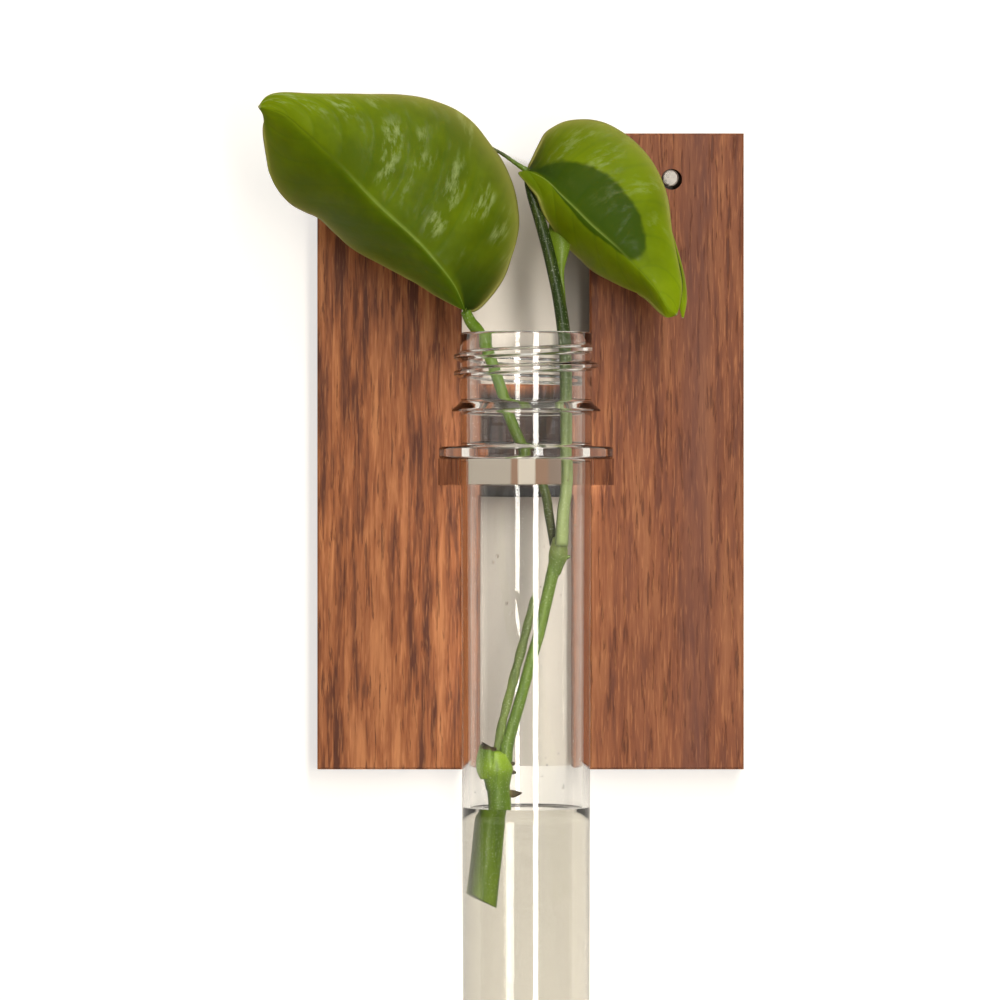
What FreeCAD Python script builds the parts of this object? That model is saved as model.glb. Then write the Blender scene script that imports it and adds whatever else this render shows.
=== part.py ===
import FreeCAD, Part
import Sketcher
import math
import os

# A wall-hung propagation vase. A walnut-coloured plaque hangs on two nails. A clear shelf
# plate is tenoned into the bridge between the plaque's two slots. A clear tube with a
# bottle thread drops through the shelf and hangs by its support ring. A leafy cutting
# stands in the tube's water.
#
# The frame: x is to the right, y goes into the wall, z is up. The origin lies on the wall,
# midway between the two nails. Every length is in millimetres.

SIZES = {
    # Plaque
    "board_width": 82.0,
    "board_height": 122.3,
    "board_thick": 6.4,
    "board_above_nails": 8.6,
    "board_edge_break": 0.4,
    "slot_width": 24.6,
    "slot_offset": 0.93,
    "bridge_above_seat": 14.2,
    "bridge_below_shelf": 2.4,
    # Nails and the holes that hang on them
    "nail_spacing": 53.8,
    "head_diameter": 3.1,
    "head_thick": 1.0,
    "head_proud": 0.6,
    "head_bevel": 0.25,
    "shoulder_diameter": 2.2,
    "shank_diameter": 1.8,
    "shank_in_wall": 12.0,
    "nail_point": 2.5,
    "hole_diameter": 4.0,
    "hang_offset": 0.25,
    # Shelf
    "seat_drop": 54.1,
    "shelf_thick": 5.0,
    "shelf_width": 33.0,
    "shelf_reach": 16.2,
    "nose_left": 11.0,
    "nose_right": 6.6,
    "tenon_width": 18.0,
    "tenon_clearance": 0.05,
    "shelf_hole_clearance": 0.3,
    # Tube
    "tube_radius": 12.35,
    "tube_end_radius": 11.9,
    "tube_below_seat": 131.0,
    "bore_radius": 10.9,
    "bore_end_radius": 10.7,
    "neck_height": 23.9,
    "neck_radius": 12.45,
    "mouth_flare": 0.5,
    "mouth_flare_depth": 2.0,
    "lip_bevel": 0.4,
    "ring_radius": 16.5,
    "ring_thick": 2.3,
    "ring_bevel": 0.5,
    "ring_gap": 0.5,
    "bead_radius": 14.1,
    "bead_height": 8.9,
    "bead_rim": 0.4,
    "bead_slope": 1.5,
    "thread_radius": 13.7,
    "thread_start": 14.5,
    "thread_pitch": 3.18,
    "thread_turns": 2.0,
    "thread_root_width": 1.7,
    "thread_crest_width": 0.7,
    "thread_overlap": 0.25,
    # Water
    "water_below_bud": 2.1,
    "water_skin": 0.05,
    "water_stem_clearance": 0.35,
    # Cutting
    "stem_wall_clearance": 0.3,
    "cutting_reach": 84.3,
    "petiole_radius": 1.1,
    "internode_radius": 1.1,
    "second_stem_radius": 0.55,
    "upper_node_radius": 2.4,
    "lower_node_radius": 3.1,
    "lower_stem_radius": 2.2,
    "stem_cut_slant": 1.5,
    "sheath_width": 3.2,
    "sheath_thick": 0.5,
    "bud_radius": 0.8,
    "bud_length": 2.2,
    "leaf_left_length": 54.8,
    "leaf_right_length": 40.6,
    "leaf_thick": 0.6,
    "leaf_seat_gap": 0.1,
    "bud_seat_gap": 0.03,
    "sheath_gap": 0.15,
    # Cuts run past the far face by this much
    "overrun": 1.0,
}

# Degrees from +x to each leaf's chord, from its base to its tip, seen from the front
LEAF_LEFT_TURN = 135.5
LEAF_RIGHT_TURN = -44.6

# Stem routes, from the top down. Each row is how far across and how far back the stem's
# centre lies, as shares of the room that the bore leaves it, and its height, as a share of
# the neck's height above the seat or of the cutting's reach below it.
petiole_left_shares = (
    (-1.206, -0.166, 1.165), (-1.098, -0.083, 1.08), (-0.94, 0.0, 1.00), (-0.798, 0.083, 0.874),
    (-0.624, 0.166, 0.69), (-0.482, 0.216, 0.523), (-0.333, 0.258, 0.34), (-0.083, 0.299, 0.09),
    (0.349, 0.374, -0.063), (0.474, 0.399, -0.130), (0.565, 0.374, -0.202))
petiole_right_shares = (
    (0.017, 0.333, 2.289), (0.083, 0.333, 2.134), (0.266, 0.299, 1.90), (0.441, 0.249, 1.65),
    (0.582, 0.183, 1.40), (0.665, 0.125, 1.23), (0.74, 0.067, 1.017), (0.782, 0.042, 0.787),
    (0.798, 0.033, 0.29), (0.798, 0.033, -0.063), (0.74, 0.033, -0.120), (0.699, 0.033, -0.202))
internode_shares = (
    (0.599, 0.166, -0.238), (0.466, 0.15, -0.308), (0.358, 0.141, -0.368), (0.241, 0.133, -0.419),
    (0.025, 0.125, -0.466), (-0.158, 0.116, -0.499), (-0.266, 0.108, -0.584), (-0.383, 0.1, -0.647),
    (-0.416, 0.1, -0.671))
second_stem_shares = (
    (0.387, 0.0, -0.285), (0.092, 0.017, -0.340), (-0.042, 0.034, -0.399), (-0.21, 0.042, -0.451),
    (-0.378, 0.05, -0.520), (-0.437, 0.05, -0.577), (-0.547, 0.067, -0.631), (-0.572, 0.084, -0.671))
lower_stem_shares = (
    (-0.64, 0.081, -0.739), (-0.607, 0.081, -0.788), (-0.68, 0.081, -0.878), (-0.777, 0.081, -0.990))
upper_node_place_shares = (0.749, 0.225, -0.202)
lower_node_place_shares = (-0.755, 0.094, -0.671)

# Nodes swell in the middle: share of the node's height, share of its radius
upper_node_shares = ((0.0, 0.80), (0.45, 1.0), (1.0, 0.58))
lower_node_shares = ((0.0, 0.75), (0.35, 1.0), (0.75, 0.95), (1.0, 0.75))

# The sheath's blade beside the right petiole: height as above, share of its full width
sheath_shares = ((1.79, 0.15), (1.72, 0.80), (1.65, 1.0), (1.50, 0.70), (1.25, 0.40), (1.05, 0.20))

# Root buds beside the lower node: height as above, share of the full bud's size
bud_shares = ((-0.685, 0.45), (-0.705, 0.45), (-0.752, 1.0))

# Leaf sections from base to tip, all as shares of the leaf's length: place along the chord,
# then lower edge, midrib and upper edge across it, then how far back each of them lies.
leaf_left_shares = (
    (0.00, -0.010, 0.000, 0.190, 0.00, 0.00, 0.04),
    (0.05, -0.020, 0.018, 0.304, 0.01, -0.02, 0.04),
    (0.15, -0.042, 0.044, 0.401, 0.06, -0.06, 0.03),
    (0.30, -0.081, 0.053, 0.464, 0.13, -0.09, 0.01),
    (0.50, -0.122, 0.048, 0.473, 0.16, -0.11, -0.01),
    (0.70, -0.157, 0.055, 0.353, 0.14, -0.10, -0.02),
    (0.85, -0.110, 0.050, 0.215, 0.06, -0.08, -0.02),
    (0.95, -0.025, 0.027, 0.119, -0.02, -0.06, -0.03),
    (1.00, -0.006, 0.000, 0.006, -0.04, -0.04, -0.04))
leaf_right_shares = (
    (0.00, -0.030, 0.000, 0.330, 0.00, 0.00, 0.05),
    (0.05, -0.047, 0.019, 0.384, 0.00, -0.01, 0.05),
    (0.15, -0.063, 0.029, 0.432, -0.02, -0.04, 0.05),
    (0.30, -0.112, 0.028, 0.452, 0.10, -0.06, 0.04),
    (0.50, -0.117, 0.032, 0.402, 0.18, -0.07, 0.03),
    (0.70, -0.069, 0.033, 0.262, 0.14, -0.06, 0.02),
    (0.85, -0.034, 0.027, 0.160, 0.05, -0.04, 0.01),
    (0.95, -0.029, 0.012, 0.083, 0.00, -0.02, 0.00),
    (1.00, -0.006, 0.000, 0.006, 0.00, 0.00, 0.00))

doc = FreeCAD.newDocument("propagation_vase")
sheet = doc.addObject("Spreadsheet::Sheet", "Sizes")
for row, (name, number) in enumerate(SIZES.items(), start=1):
    sheet.set(f"A{row}", name)
    sheet.set(f"B{row}", str(number))
    sheet.setAlias(f"B{row}", name)
doc.recompute()


class Length:
    """A size: its value in millimetres and the sheet expression that gives it."""

    def __init__(self, value, text):
        self.value = value
        self.text = text

    def __add__(self, other):
        return Length(self.value + other.value, f"({self.text} + {other.text})")

    def __sub__(self, other):
        return Length(self.value - other.value, f"({self.text} - {other.text})")

    def __mul__(self, factor):
        return Length(self.value * factor, f"({self.text} * {factor})")

    def __truediv__(self, factor):
        return Length(self.value / factor, f"({self.text} / {factor})")

    def __neg__(self):
        return Length(-self.value, f"(-{self.text})")


class Sizes:
    """Every alias of the sheet as a Length."""

    def __init__(self, names):
        for alias in names:
            setattr(self, alias, Length(float(sheet.get(alias)), f"Sizes.{alias}"))


size = Sizes(SIZES)
ZERO = Length(0.0, "0")


def role(body, name):
    """One of a body's own origin planes or axes."""
    for feature in body.Origin.OriginFeatures:
        if feature.Role == name:
            return feature
    raise ValueError(name)


def new_body(name):
    """A body whose label names its file."""
    body = doc.addObject("PartDesign::Body", name)
    body.Label = name
    return body


def new_sketch(body, name, plane):
    """An empty sketch in one of the body's origin planes."""
    sketch = body.newObject("Sketcher::SketchObject", name)
    sketch.AttachmentSupport = [(role(body, plane), "")]
    sketch.MapMode = "FlatFace"
    return sketch


def dimension(sketch, kind, geometry, point, length):
    """A coordinate of one sketch point, tied to the sheet."""
    index = sketch.addConstraint(Sketcher.Constraint(kind, -1, 1, geometry, point, length.value))
    if length is not ZERO:
        sketch.setExpression(f"Constraints[{index}]", length.text)


def outline(body, name, plane, corners, round_edges=None):
    """A closed outline through the corners. round_edges maps a corner's place in the list
    to the height of the quarter circle's centre on the vertical axis, for the edge after it."""
    round_edges = round_edges or {}
    sketch = new_sketch(body, name, plane)
    count = len(corners)
    for index, (across, up) in enumerate(corners):
        following = corners[(index + 1) % count]
        start = FreeCAD.Vector(across.value, up.value, 0)
        end = FreeCAD.Vector(following[0].value, following[1].value, 0)
        if index in round_edges:
            middle = FreeCAD.Vector(0, round_edges[index].value, 0)
            radius = max(abs(start.x), abs(end.x))
            circle = Part.Circle(middle, FreeCAD.Vector(0, 0, 1), radius)
            sketch.addGeometry(Part.ArcOfCircle(circle, -math.pi / 2, 0), False)
        else:
            sketch.addGeometry(Part.LineSegment(start, end), False)
    for index, (across, up) in enumerate(corners):
        before = (index - 1) % count
        turned_before = before in round_edges and across is ZERO
        turned_here = index in round_edges and across is not ZERO
        last = 1 if turned_before else 2
        first = 2 if turned_here else 1
        sketch.addConstraint(Sketcher.Constraint("Coincident", before, last, index, first))
        dimension(sketch, "DistanceX", index, first, across)
        dimension(sketch, "DistanceY", index, first, up)
        if index in round_edges:
            dimension(sketch, "DistanceX", index, 3, ZERO)
    return sketch


def rectangle(body, name, plane, left, right, low, high):
    """A rectangle between four sizes."""
    return outline(body, name, plane, [(left, low), (right, low), (right, high), (left, high)])


def round_hole(body, name, plane, across, up, radius):
    """A circle for a hole."""
    sketch = new_sketch(body, name, plane)
    middle = FreeCAD.Vector(across.value, up.value, 0)
    sketch.addGeometry(Part.Circle(middle, FreeCAD.Vector(0, 0, 1), radius.value), False)
    dimension(sketch, "DistanceX", 0, 3, across)
    dimension(sketch, "DistanceY", 0, 3, up)
    index = sketch.addConstraint(Sketcher.Constraint("Radius", 0, radius.value))
    sketch.setExpression(f"Constraints[{index}]", radius.text)
    return sketch


def pad(body, name, sketch, length, backwards=False):
    """Thickness along the sketch's normal, or against it."""
    feature = body.newObject("PartDesign::Pad", name)
    feature.Profile = sketch
    feature.setExpression("Length", length.text)
    feature.Reversed = backwards
    doc.recompute()
    return feature


def pocket(body, name, sketch, length, reverse=True):
    """A cut from the sketch, which must take something away."""
    before = body.Shape.Volume
    feature = body.newObject("PartDesign::Pocket", name)
    feature.Profile = sketch
    feature.setExpression("Length", length.text)
    feature.Reversed = reverse
    doc.recompute()
    if body.Shape.Volume >= before:
        raise RuntimeError(f"{name} cuts nothing")
    return feature


def revolve(body, name, sketch, axis):
    """A full turn about one of the body's own axes."""
    feature = body.newObject("PartDesign::Revolution", name)
    feature.Profile = sketch
    feature.ReferenceAxis = (role(body, axis), [""])
    feature.Angle = 360.0
    doc.recompute()
    return feature


def place(thing, across=ZERO, back=ZERO, up=ZERO):
    """A placement without a turn, tied to the sheet."""
    for letter, length in (("x", across), ("y", back), ("z", up)):
        if length is not ZERO:
            thing.setExpression(f"Placement.Base.{letter}", length.text)


# Places that several pieces share
tube_stand = size.ring_radius + size.ring_gap
tube_x = -size.slot_offset
tube_y = -(size.board_thick + tube_stand)
seat_z = -size.seat_drop
shelf_hole_radius = size.tube_radius + size.shelf_hole_clearance


def plaque_board():
    """The plaque: one board with a slot from its top edge, a wider-standing slot from its
    lower edge, the bridge between them, the shelf's mortise and two hanging holes."""
    body = new_body("plaque_board")
    half = size.board_width / 2
    top = size.board_above_nails
    bottom = top - size.board_height
    slot_left = tube_x - size.slot_width / 2
    slot_right = tube_x + size.slot_width / 2
    through = size.board_thick + size.overrun
    blank = rectangle(body, "board_outline", "XZ_Plane", -half, half, bottom, top)
    pad(body, "board_blank", blank, size.board_thick)
    floor = seat_z + size.bridge_above_seat
    upper = rectangle(body, "top_slot_outline", "XZ_Plane",
                      slot_left, slot_right, floor, top + size.overrun)
    pocket(body, "top_slot", upper, through)
    ceiling = seat_z - size.shelf_thick - size.bridge_below_shelf
    lower = rectangle(body, "lower_slot_outline", "XZ_Plane",
                      slot_left, slot_right, bottom - size.overrun, ceiling)
    pocket(body, "lower_slot", lower, through)
    mortise_half = size.tenon_width / 2 + size.tenon_clearance
    mortise = rectangle(body, "mortise_outline", "XZ_Plane",
                        tube_x - mortise_half, tube_x + mortise_half,
                        seat_z - size.shelf_thick - size.tenon_clearance,
                        seat_z + size.tenon_clearance)
    pocket(body, "mortise", mortise, through)
    hole_x = size.nail_spacing / 2 + size.hang_offset
    for side, across in (("left", -hole_x), ("right", hole_x)):
        circle = round_hole(body, f"hole_outline_{side}", "XZ_Plane",
                            across, -size.hang_offset, size.hole_diameter / 2)
        pocket(body, f"hanging_hole_{side}", circle, through)
    front = -size.board_thick.value
    drilled = body.Tip
    edges = []
    for index, edge in enumerate(drilled.Shape.Edges, start=1):
        box = edge.BoundBox
        in_front = abs(box.YMin - front) + abs(box.YMax - front) < size.tenon_clearance.value
        bridge = box.ZMax < (seat_z + size.tenon_clearance * 2).value
        in_mortise = bridge and box.ZMin > ceiling.value + size.tenon_clearance.value
        if in_front and not in_mortise and edge.Curve.TypeId == "Part::GeomLine":
            edges.append(f"Edge{index}")
    bevel = body.newObject("PartDesign::Chamfer", "edge_break")
    bevel.Base = (drilled, edges)
    bevel.setExpression("Size", size.board_edge_break.text)
    doc.recompute()
    return body


def wall_nail(name, across):
    """A shouldered nail: a bevelled round head that fills most of the hanging hole, a
    shoulder through the board that stops at the wall, a thinner shank in it and a point."""
    body = new_body(name)
    head = size.head_diameter / 2
    shoulder = size.shoulder_diameter / 2
    shank = size.shank_diameter / 2
    front = -(size.board_thick + size.head_proud)
    neck = front + size.head_thick
    corners = [(ZERO, front), (head - size.head_bevel, front), (head, front + size.head_bevel),
               (head, neck), (shoulder, neck), (shoulder, ZERO), (shank, ZERO),
               (shank, size.shank_in_wall - size.nail_point),
               (ZERO, size.shank_in_wall)]
    profile = outline(body, f"{name}_profile", "XY_Plane", corners)
    revolve(body, f"{name}_turned", profile, "Y_Axis")
    place(body, across=across)
    return body


def tube_shelf():
    """The clear shelf plate: a flat nose, two sawn corners, a hole for the tube and a tenon
    that goes through the bridge, flush with the plaque's back. Its top is the tube's seat."""
    body = new_body("tube_shelf")
    half = size.shelf_width / 2
    tenon = size.tenon_width / 2
    nose = -size.shelf_reach
    left_side = nose + (half - size.nose_left)
    right_side = nose + (half - size.nose_right)
    tail = tube_stand + size.board_thick
    corners = [(-half, tube_stand), (-half, left_side), (-size.nose_left, nose),
               (size.nose_right, nose), (half, right_side), (half, tube_stand),
               (tenon, tube_stand), (tenon, tail), (-tenon, tail), (-tenon, tube_stand)]
    plate = outline(body, "shelf_outline", "XY_Plane", corners)
    pad(body, "shelf_plate", plate, size.shelf_thick, backwards=True)
    circle = round_hole(body, "shelf_hole_outline", "XY_Plane", ZERO, ZERO, shelf_hole_radius)
    pocket(body, "shelf_hole", circle, size.shelf_thick + size.overrun, reverse=False)
    place(body, tube_x, tube_y, seat_z)
    return body


def bore_centre_height():
    """Height of the centre of the tube's round end, from the seat."""
    return size.tube_end_radius - size.tube_below_seat


def clear_tube():
    """The tube, turned about its axis with the seat as its zero: lip, neck, bead, support
    ring, slightly tapered body and round closed end, with the bottle thread run round the
    neck as one moulding."""
    body = new_body("clear_tube")
    centre = bore_centre_height()
    neck = size.neck_radius
    top = size.neck_height
    ring = size.ring_radius
    bead_low = size.bead_height
    bead_rim_top = bead_low + size.bead_rim
    corners = [
        (ZERO, centre - size.tube_end_radius),
        (ZERO, centre - size.bore_end_radius),
        (size.bore_end_radius, centre),
        (size.bore_radius, top - size.mouth_flare_depth),
        (size.bore_radius + size.mouth_flare, top),
        (neck - size.lip_bevel, top),
        (neck, top - size.lip_bevel),
        (neck, bead_rim_top + size.bead_slope),
        (size.bead_radius, bead_rim_top),
        (size.bead_radius, bead_low),
        (neck, bead_low),
        (neck, size.ring_thick),
        (ring - size.ring_bevel, size.ring_thick),
        (ring, size.ring_thick - size.ring_bevel),
        (ring, size.ring_bevel),
        (ring - size.ring_bevel, ZERO),
        (size.tube_radius, ZERO),
        (size.tube_end_radius, centre)]
    round_ends = {1: centre, len(corners) - 1: centre}
    profile = outline(body, "tube_profile", "XZ_Plane", corners, round_ends)
    revolve(body, "tube_turned", profile, "Z_Axis")
    root = neck - size.thread_overlap
    middle = size.thread_start
    ridge = outline(body, "thread_profile", "XZ_Plane", [
        (root, middle - size.thread_root_width / 2),
        (size.thread_radius, middle - size.thread_crest_width / 2),
        (size.thread_radius, middle + size.thread_crest_width / 2),
        (root, middle + size.thread_root_width / 2)])
    thread = body.newObject("PartDesign::AdditiveHelix", "thread")
    thread.Profile = ridge
    thread.ReferenceAxis = (role(body, "Z_Axis"), [""])
    thread.Mode = 1
    thread.setExpression("Pitch", size.thread_pitch.text)
    thread.setExpression("Turns", "Sizes.thread_turns")
    doc.recompute()
    place(body, tube_x, tube_y, seat_z)
    return body


def room(radius):
    """How far a stem's centre may stand from the tube's axis."""
    return size.bore_radius - radius - size.stem_wall_clearance


def height_of(share):
    """A height from the seat: by the neck above it, by the cutting's reach below it."""
    if share > 0:
        return size.neck_height * share
    return size.cutting_reach * share


def stem_point(shares, radius):
    """A stem's centre from its row of shares."""
    across, back, height = shares
    return FreeCAD.Vector((room(radius) * across).value, (room(radius) * back).value,
                          height_of(height).value)


def level_circle(centre, radius):
    """A level round section."""
    circle = Part.Circle(centre, FreeCAD.Vector(0, 0, 1), radius)
    return Part.Wire([circle.toShape()])


def seated(name, shape):
    """A piece of the cutting, placed by the tube's axis and the seat."""
    piece = doc.addObject("Part::Feature", name)
    piece.Label = name
    piece.Shape = shape
    place(piece, tube_x, tube_y, seat_z)
    return piece


def stem(name, shares, radius):
    """A stem with level round sections along its route."""
    sections = [level_circle(stem_point(row, radius), radius.value) for row in shares]
    return seated(name, Part.makeLoft(sections, True, True))


def stem_node(name, place_shares, swell_shares, radius, next_share):
    """A swollen node from its place down to the next stem's top: level rounds, widest near
    the middle."""
    top = stem_point(place_shares, radius)
    height = top.z - height_of(next_share).value
    sections = []
    for down, wide in swell_shares:
        centre = top - FreeCAD.Vector(0, 0, height * down)
        sections.append(level_circle(centre, radius.value * wide))
    return seated(name, Part.makeLoft(sections, True, True))


def lower_stem():
    """The thick lower stem, cut off at a slant so that its left side ends higher."""
    radius = size.lower_stem_radius
    sections = [level_circle(stem_point(row, radius), radius.value) for row in lower_stem_shares]
    shape = Part.makeLoft(sections, True, True)
    end = stem_point(lower_stem_shares[-1], radius)
    reach = (radius + size.stem_cut_slant).value
    slant = size.stem_cut_slant.value
    left, right = end.x - reach, end.x + reach
    corners = [(left, end.z + slant), (right, end.z), (right, end.z - reach),
               (left, end.z - reach), (left, end.z + slant)]
    face = Part.Face(Part.makePolygon([FreeCAD.Vector(x, end.y - reach, z) for x, z in corners]))
    wedge = face.extrude(FreeCAD.Vector(0, reach * 2, 0))
    return seated("lower_stem", shape.cut(wedge))


def row_at(rows, column, number):
    """A row of shares between two rows of a falling table, by straight proportion."""
    above = [row for row in rows if row[column] >= number][-1]
    below = [row for row in rows if row[column] <= number][0]
    span = above[column] - below[column]
    part = (number - below[column]) / span if span else 0
    return [low + (high - low) * part for low, high in zip(below, above)]


def petiole_sheath():
    """The thin blade that wings the right side of the right petiole above the lip."""
    radius = size.petiole_radius
    sections = []
    for height, wide in sheath_shares:
        centre = stem_point(row_at(petiole_right_shares, 2, height), radius)
        inner = centre.x + (radius + size.sheath_gap).value
        outer = inner + size.sheath_width.value * wide
        half = size.sheath_thick.value / 2
        sections.append(Part.makePolygon([
            FreeCAD.Vector(inner, centre.y - half, centre.z),
            FreeCAD.Vector(outer, centre.y - half, centre.z),
            FreeCAD.Vector(outer, centre.y + half, centre.z),
            FreeCAD.Vector(inner, centre.y + half, centre.z),
            FreeCAD.Vector(inner, centre.y - half, centre.z)]))
    return seated("petiole_sheath", Part.makeLoft(sections, True, True))


def right_side(height):
    """The right side of the lower node or the lower stem at a height's share."""
    top, bottom = lower_node_place_shares[2], lower_stem_shares[0][2]
    if height < bottom:
        centre = stem_point(row_at(lower_stem_shares, 2, height), size.lower_stem_radius)
        return centre + FreeCAD.Vector(size.lower_stem_radius.value, 0, 0)
    falling = [(1 - down, wide) for down, wide in lower_node_shares]
    wide = row_at(falling, 0, (height - bottom) / (top - bottom))[1]
    centre = stem_point(lower_node_place_shares, size.lower_node_radius)
    centre.z = height_of(height).value
    return centre + FreeCAD.Vector(size.lower_node_radius.value * wide, 0, 0)


def root_buds():
    """Two nubs on the lower node's right side and a pointed root bud below them."""
    cones = []
    for height, share in bud_shares:
        radius = size.bud_radius.value * share
        length = size.bud_length.value * share
        start = right_side(height) + FreeCAD.Vector(size.bud_seat_gap.value, 0, 0)
        cones.append(Part.makeCone(radius, radius / 5, length, start, FreeCAD.Vector(1, 0, 0)))
    return seated("root_buds", Part.Compound(cones))


def leaf(name, base, turn, length, shares):
    """A leaf as a thin bent plate. Its sections stand across the chord from base to tip,
    and each is bent at the midrib, with both edges further back than the rib."""
    along = FreeCAD.Vector(math.cos(math.radians(turn)), 0, math.sin(math.radians(turn)))
    upward = FreeCAD.Vector(-along.z, 0, along.x)
    if upward.z < 0:
        upward = upward * -1
    back = FreeCAD.Vector(0, 1, 0)
    thick = back * size.leaf_thick.value
    front = back * -(size.petiole_radius + size.leaf_thick + size.leaf_seat_gap).value
    sections = []
    for place_share, low, rib, high, low_back, rib_back, high_back in shares:
        points = []
        for across, depth in ((low, low_back), (rib, rib_back), (high, high_back)):
            point = along * place_share + upward * across + back * depth
            points.append(base + front + point * length.value)
        points += [point + thick for point in reversed(points)]
        sections.append(Part.makePolygon(points + points[:1]))
    return seated(name, Part.makeLoft(sections, True, True))


def water():
    """The water: the bore's shape up to its surface, less a straight-sided well that the
    lower stem can be lifted out of."""
    body = new_body("water")
    centre = bore_centre_height()
    radius = size.bore_end_radius - size.water_skin
    level = height_of(bud_shares[-1][0]) - size.bud_radius - size.water_below_bud
    corners = [(ZERO, centre - radius), (radius, centre), (radius, level), (ZERO, level)]
    profile = outline(body, "water_profile", "XZ_Plane", corners, {0: centre})
    revolve(body, "water_turned", profile, "Z_Axis")
    stem_room = room(size.lower_stem_radius)
    spread = size.lower_stem_radius + size.water_stem_clearance
    shares_across = [row[0] for row in lower_stem_shares]
    middle_back = stem_room * lower_stem_shares[0][1]
    well = rectangle(body, "stem_well_outline", "XY_Plane",
                     stem_room * min(shares_across) - spread,
                     stem_room * max(shares_across) + spread,
                     middle_back - spread, middle_back + spread)
    depth = size.cutting_reach + size.water_stem_clearance
    pocket(body, "stem_well", well, depth, reverse=False)
    place(body, tube_x, tube_y, seat_z)
    return body


nodes = [plaque_board()]
nodes.append(wall_nail("nail_left", -size.nail_spacing / 2))
nodes.append(wall_nail("nail_right", size.nail_spacing / 2))
nodes.append(tube_shelf())
nodes.append(clear_tube())
nodes.append(water())
nodes.append(stem("petiole_left", petiole_left_shares, size.petiole_radius))
nodes.append(stem("petiole_right", petiole_right_shares, size.petiole_radius))
nodes.append(petiole_sheath())
nodes.append(stem_node("upper_node", upper_node_place_shares, upper_node_shares,
                       size.upper_node_radius, internode_shares[0][2]))
nodes.append(stem("internode", internode_shares, size.internode_radius))
nodes.append(stem("second_stem", second_stem_shares, size.second_stem_radius))
nodes.append(stem_node("lower_node", lower_node_place_shares, lower_node_shares,
                       size.lower_node_radius, lower_stem_shares[0][2]))
nodes.append(root_buds())
nodes.append(lower_stem())
nodes.append(leaf("leaf_left", stem_point(petiole_left_shares[0], size.petiole_radius),
                  LEAF_LEFT_TURN, size.leaf_left_length, leaf_left_shares))
nodes.append(leaf("leaf_right", stem_point(petiole_right_shares[0], size.petiole_radius),
                  LEAF_RIGHT_TURN, size.leaf_right_length, leaf_right_shares))
doc.recompute()

for thing in doc.Objects:
    if "Invalid" in thing.State or "Error" in thing.State:
        raise RuntimeError(f"{thing.Label}: {thing.State}")

os.makedirs("parts", exist_ok=True)
for node in nodes:
    if node.Shape.isNull() or not node.Shape.isValid():
        raise RuntimeError(f"{node.Label} has no sound shape")
    node.Shape.exportStep(f"parts/{node.Label}.step")
    print(f"{node.Label}: {len(node.Shape.Solids)} solids, {node.Shape.Volume:.1f} cubic mm")
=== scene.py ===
"""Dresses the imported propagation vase: walnut plaque, nails, clear shelf, clear tube with its
water, and the leafy cutting. Lengths in the tables are millimetres, turned to metres by MM."""
import math
from functools import partialmethod

import bpy
import numpy as np
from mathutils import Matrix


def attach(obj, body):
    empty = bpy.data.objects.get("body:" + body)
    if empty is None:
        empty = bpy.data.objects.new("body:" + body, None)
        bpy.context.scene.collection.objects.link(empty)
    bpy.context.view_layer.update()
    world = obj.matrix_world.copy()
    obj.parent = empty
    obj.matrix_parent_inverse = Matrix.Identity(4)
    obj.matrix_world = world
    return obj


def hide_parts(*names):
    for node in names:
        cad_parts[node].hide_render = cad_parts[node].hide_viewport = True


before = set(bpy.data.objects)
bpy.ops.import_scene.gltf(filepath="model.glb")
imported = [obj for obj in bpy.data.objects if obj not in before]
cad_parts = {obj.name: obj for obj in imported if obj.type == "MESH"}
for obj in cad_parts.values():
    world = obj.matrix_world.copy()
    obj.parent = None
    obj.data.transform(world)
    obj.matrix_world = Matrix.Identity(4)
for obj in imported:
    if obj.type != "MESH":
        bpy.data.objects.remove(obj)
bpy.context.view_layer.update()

bl_info = {
    "name": "Propagation vase",
    "version": (1, 0, 0),
    "blender": (4, 5, 0),
    "location": "3D View > Sidebar > Vase",
    "description": "Walnut plaque with a clear tube and a rooted cutting, ready for a render",
    "category": "Object",
}

MM = 0.001

# How far behind the board's back the wall lies, and the paint seen through the slots, in metres
WALL_FACE = 0.0006
SLOT_FACE = 0.0003

# The tube's axis (x, y) and the height of its seat on the shelf
AXIS = (-0.93, -23.4)
SEAT = -54.1

# The tube's radii, outside at the neck, below the ring and at the end, of the ring and of
# the bead, and inside at the end
NECK, BODY, BODY_END, RING, BEAD, BORE_END = 12.45, 12.35, 11.9, 16.5, 14.1, 10.7
# Heights above the seat: the round end's centre, the top of the bore's taper and the lip
END_CENTRE, BORE_TOP, LIP = -119.1, 21.9, 23.9
# The thread: height of its foot, rise in a turn, and how far it stands out
THREAD_FOOT, THREAD_PITCH, THREAD_RIDGE = 14.5, 3.18, 1.25

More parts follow.
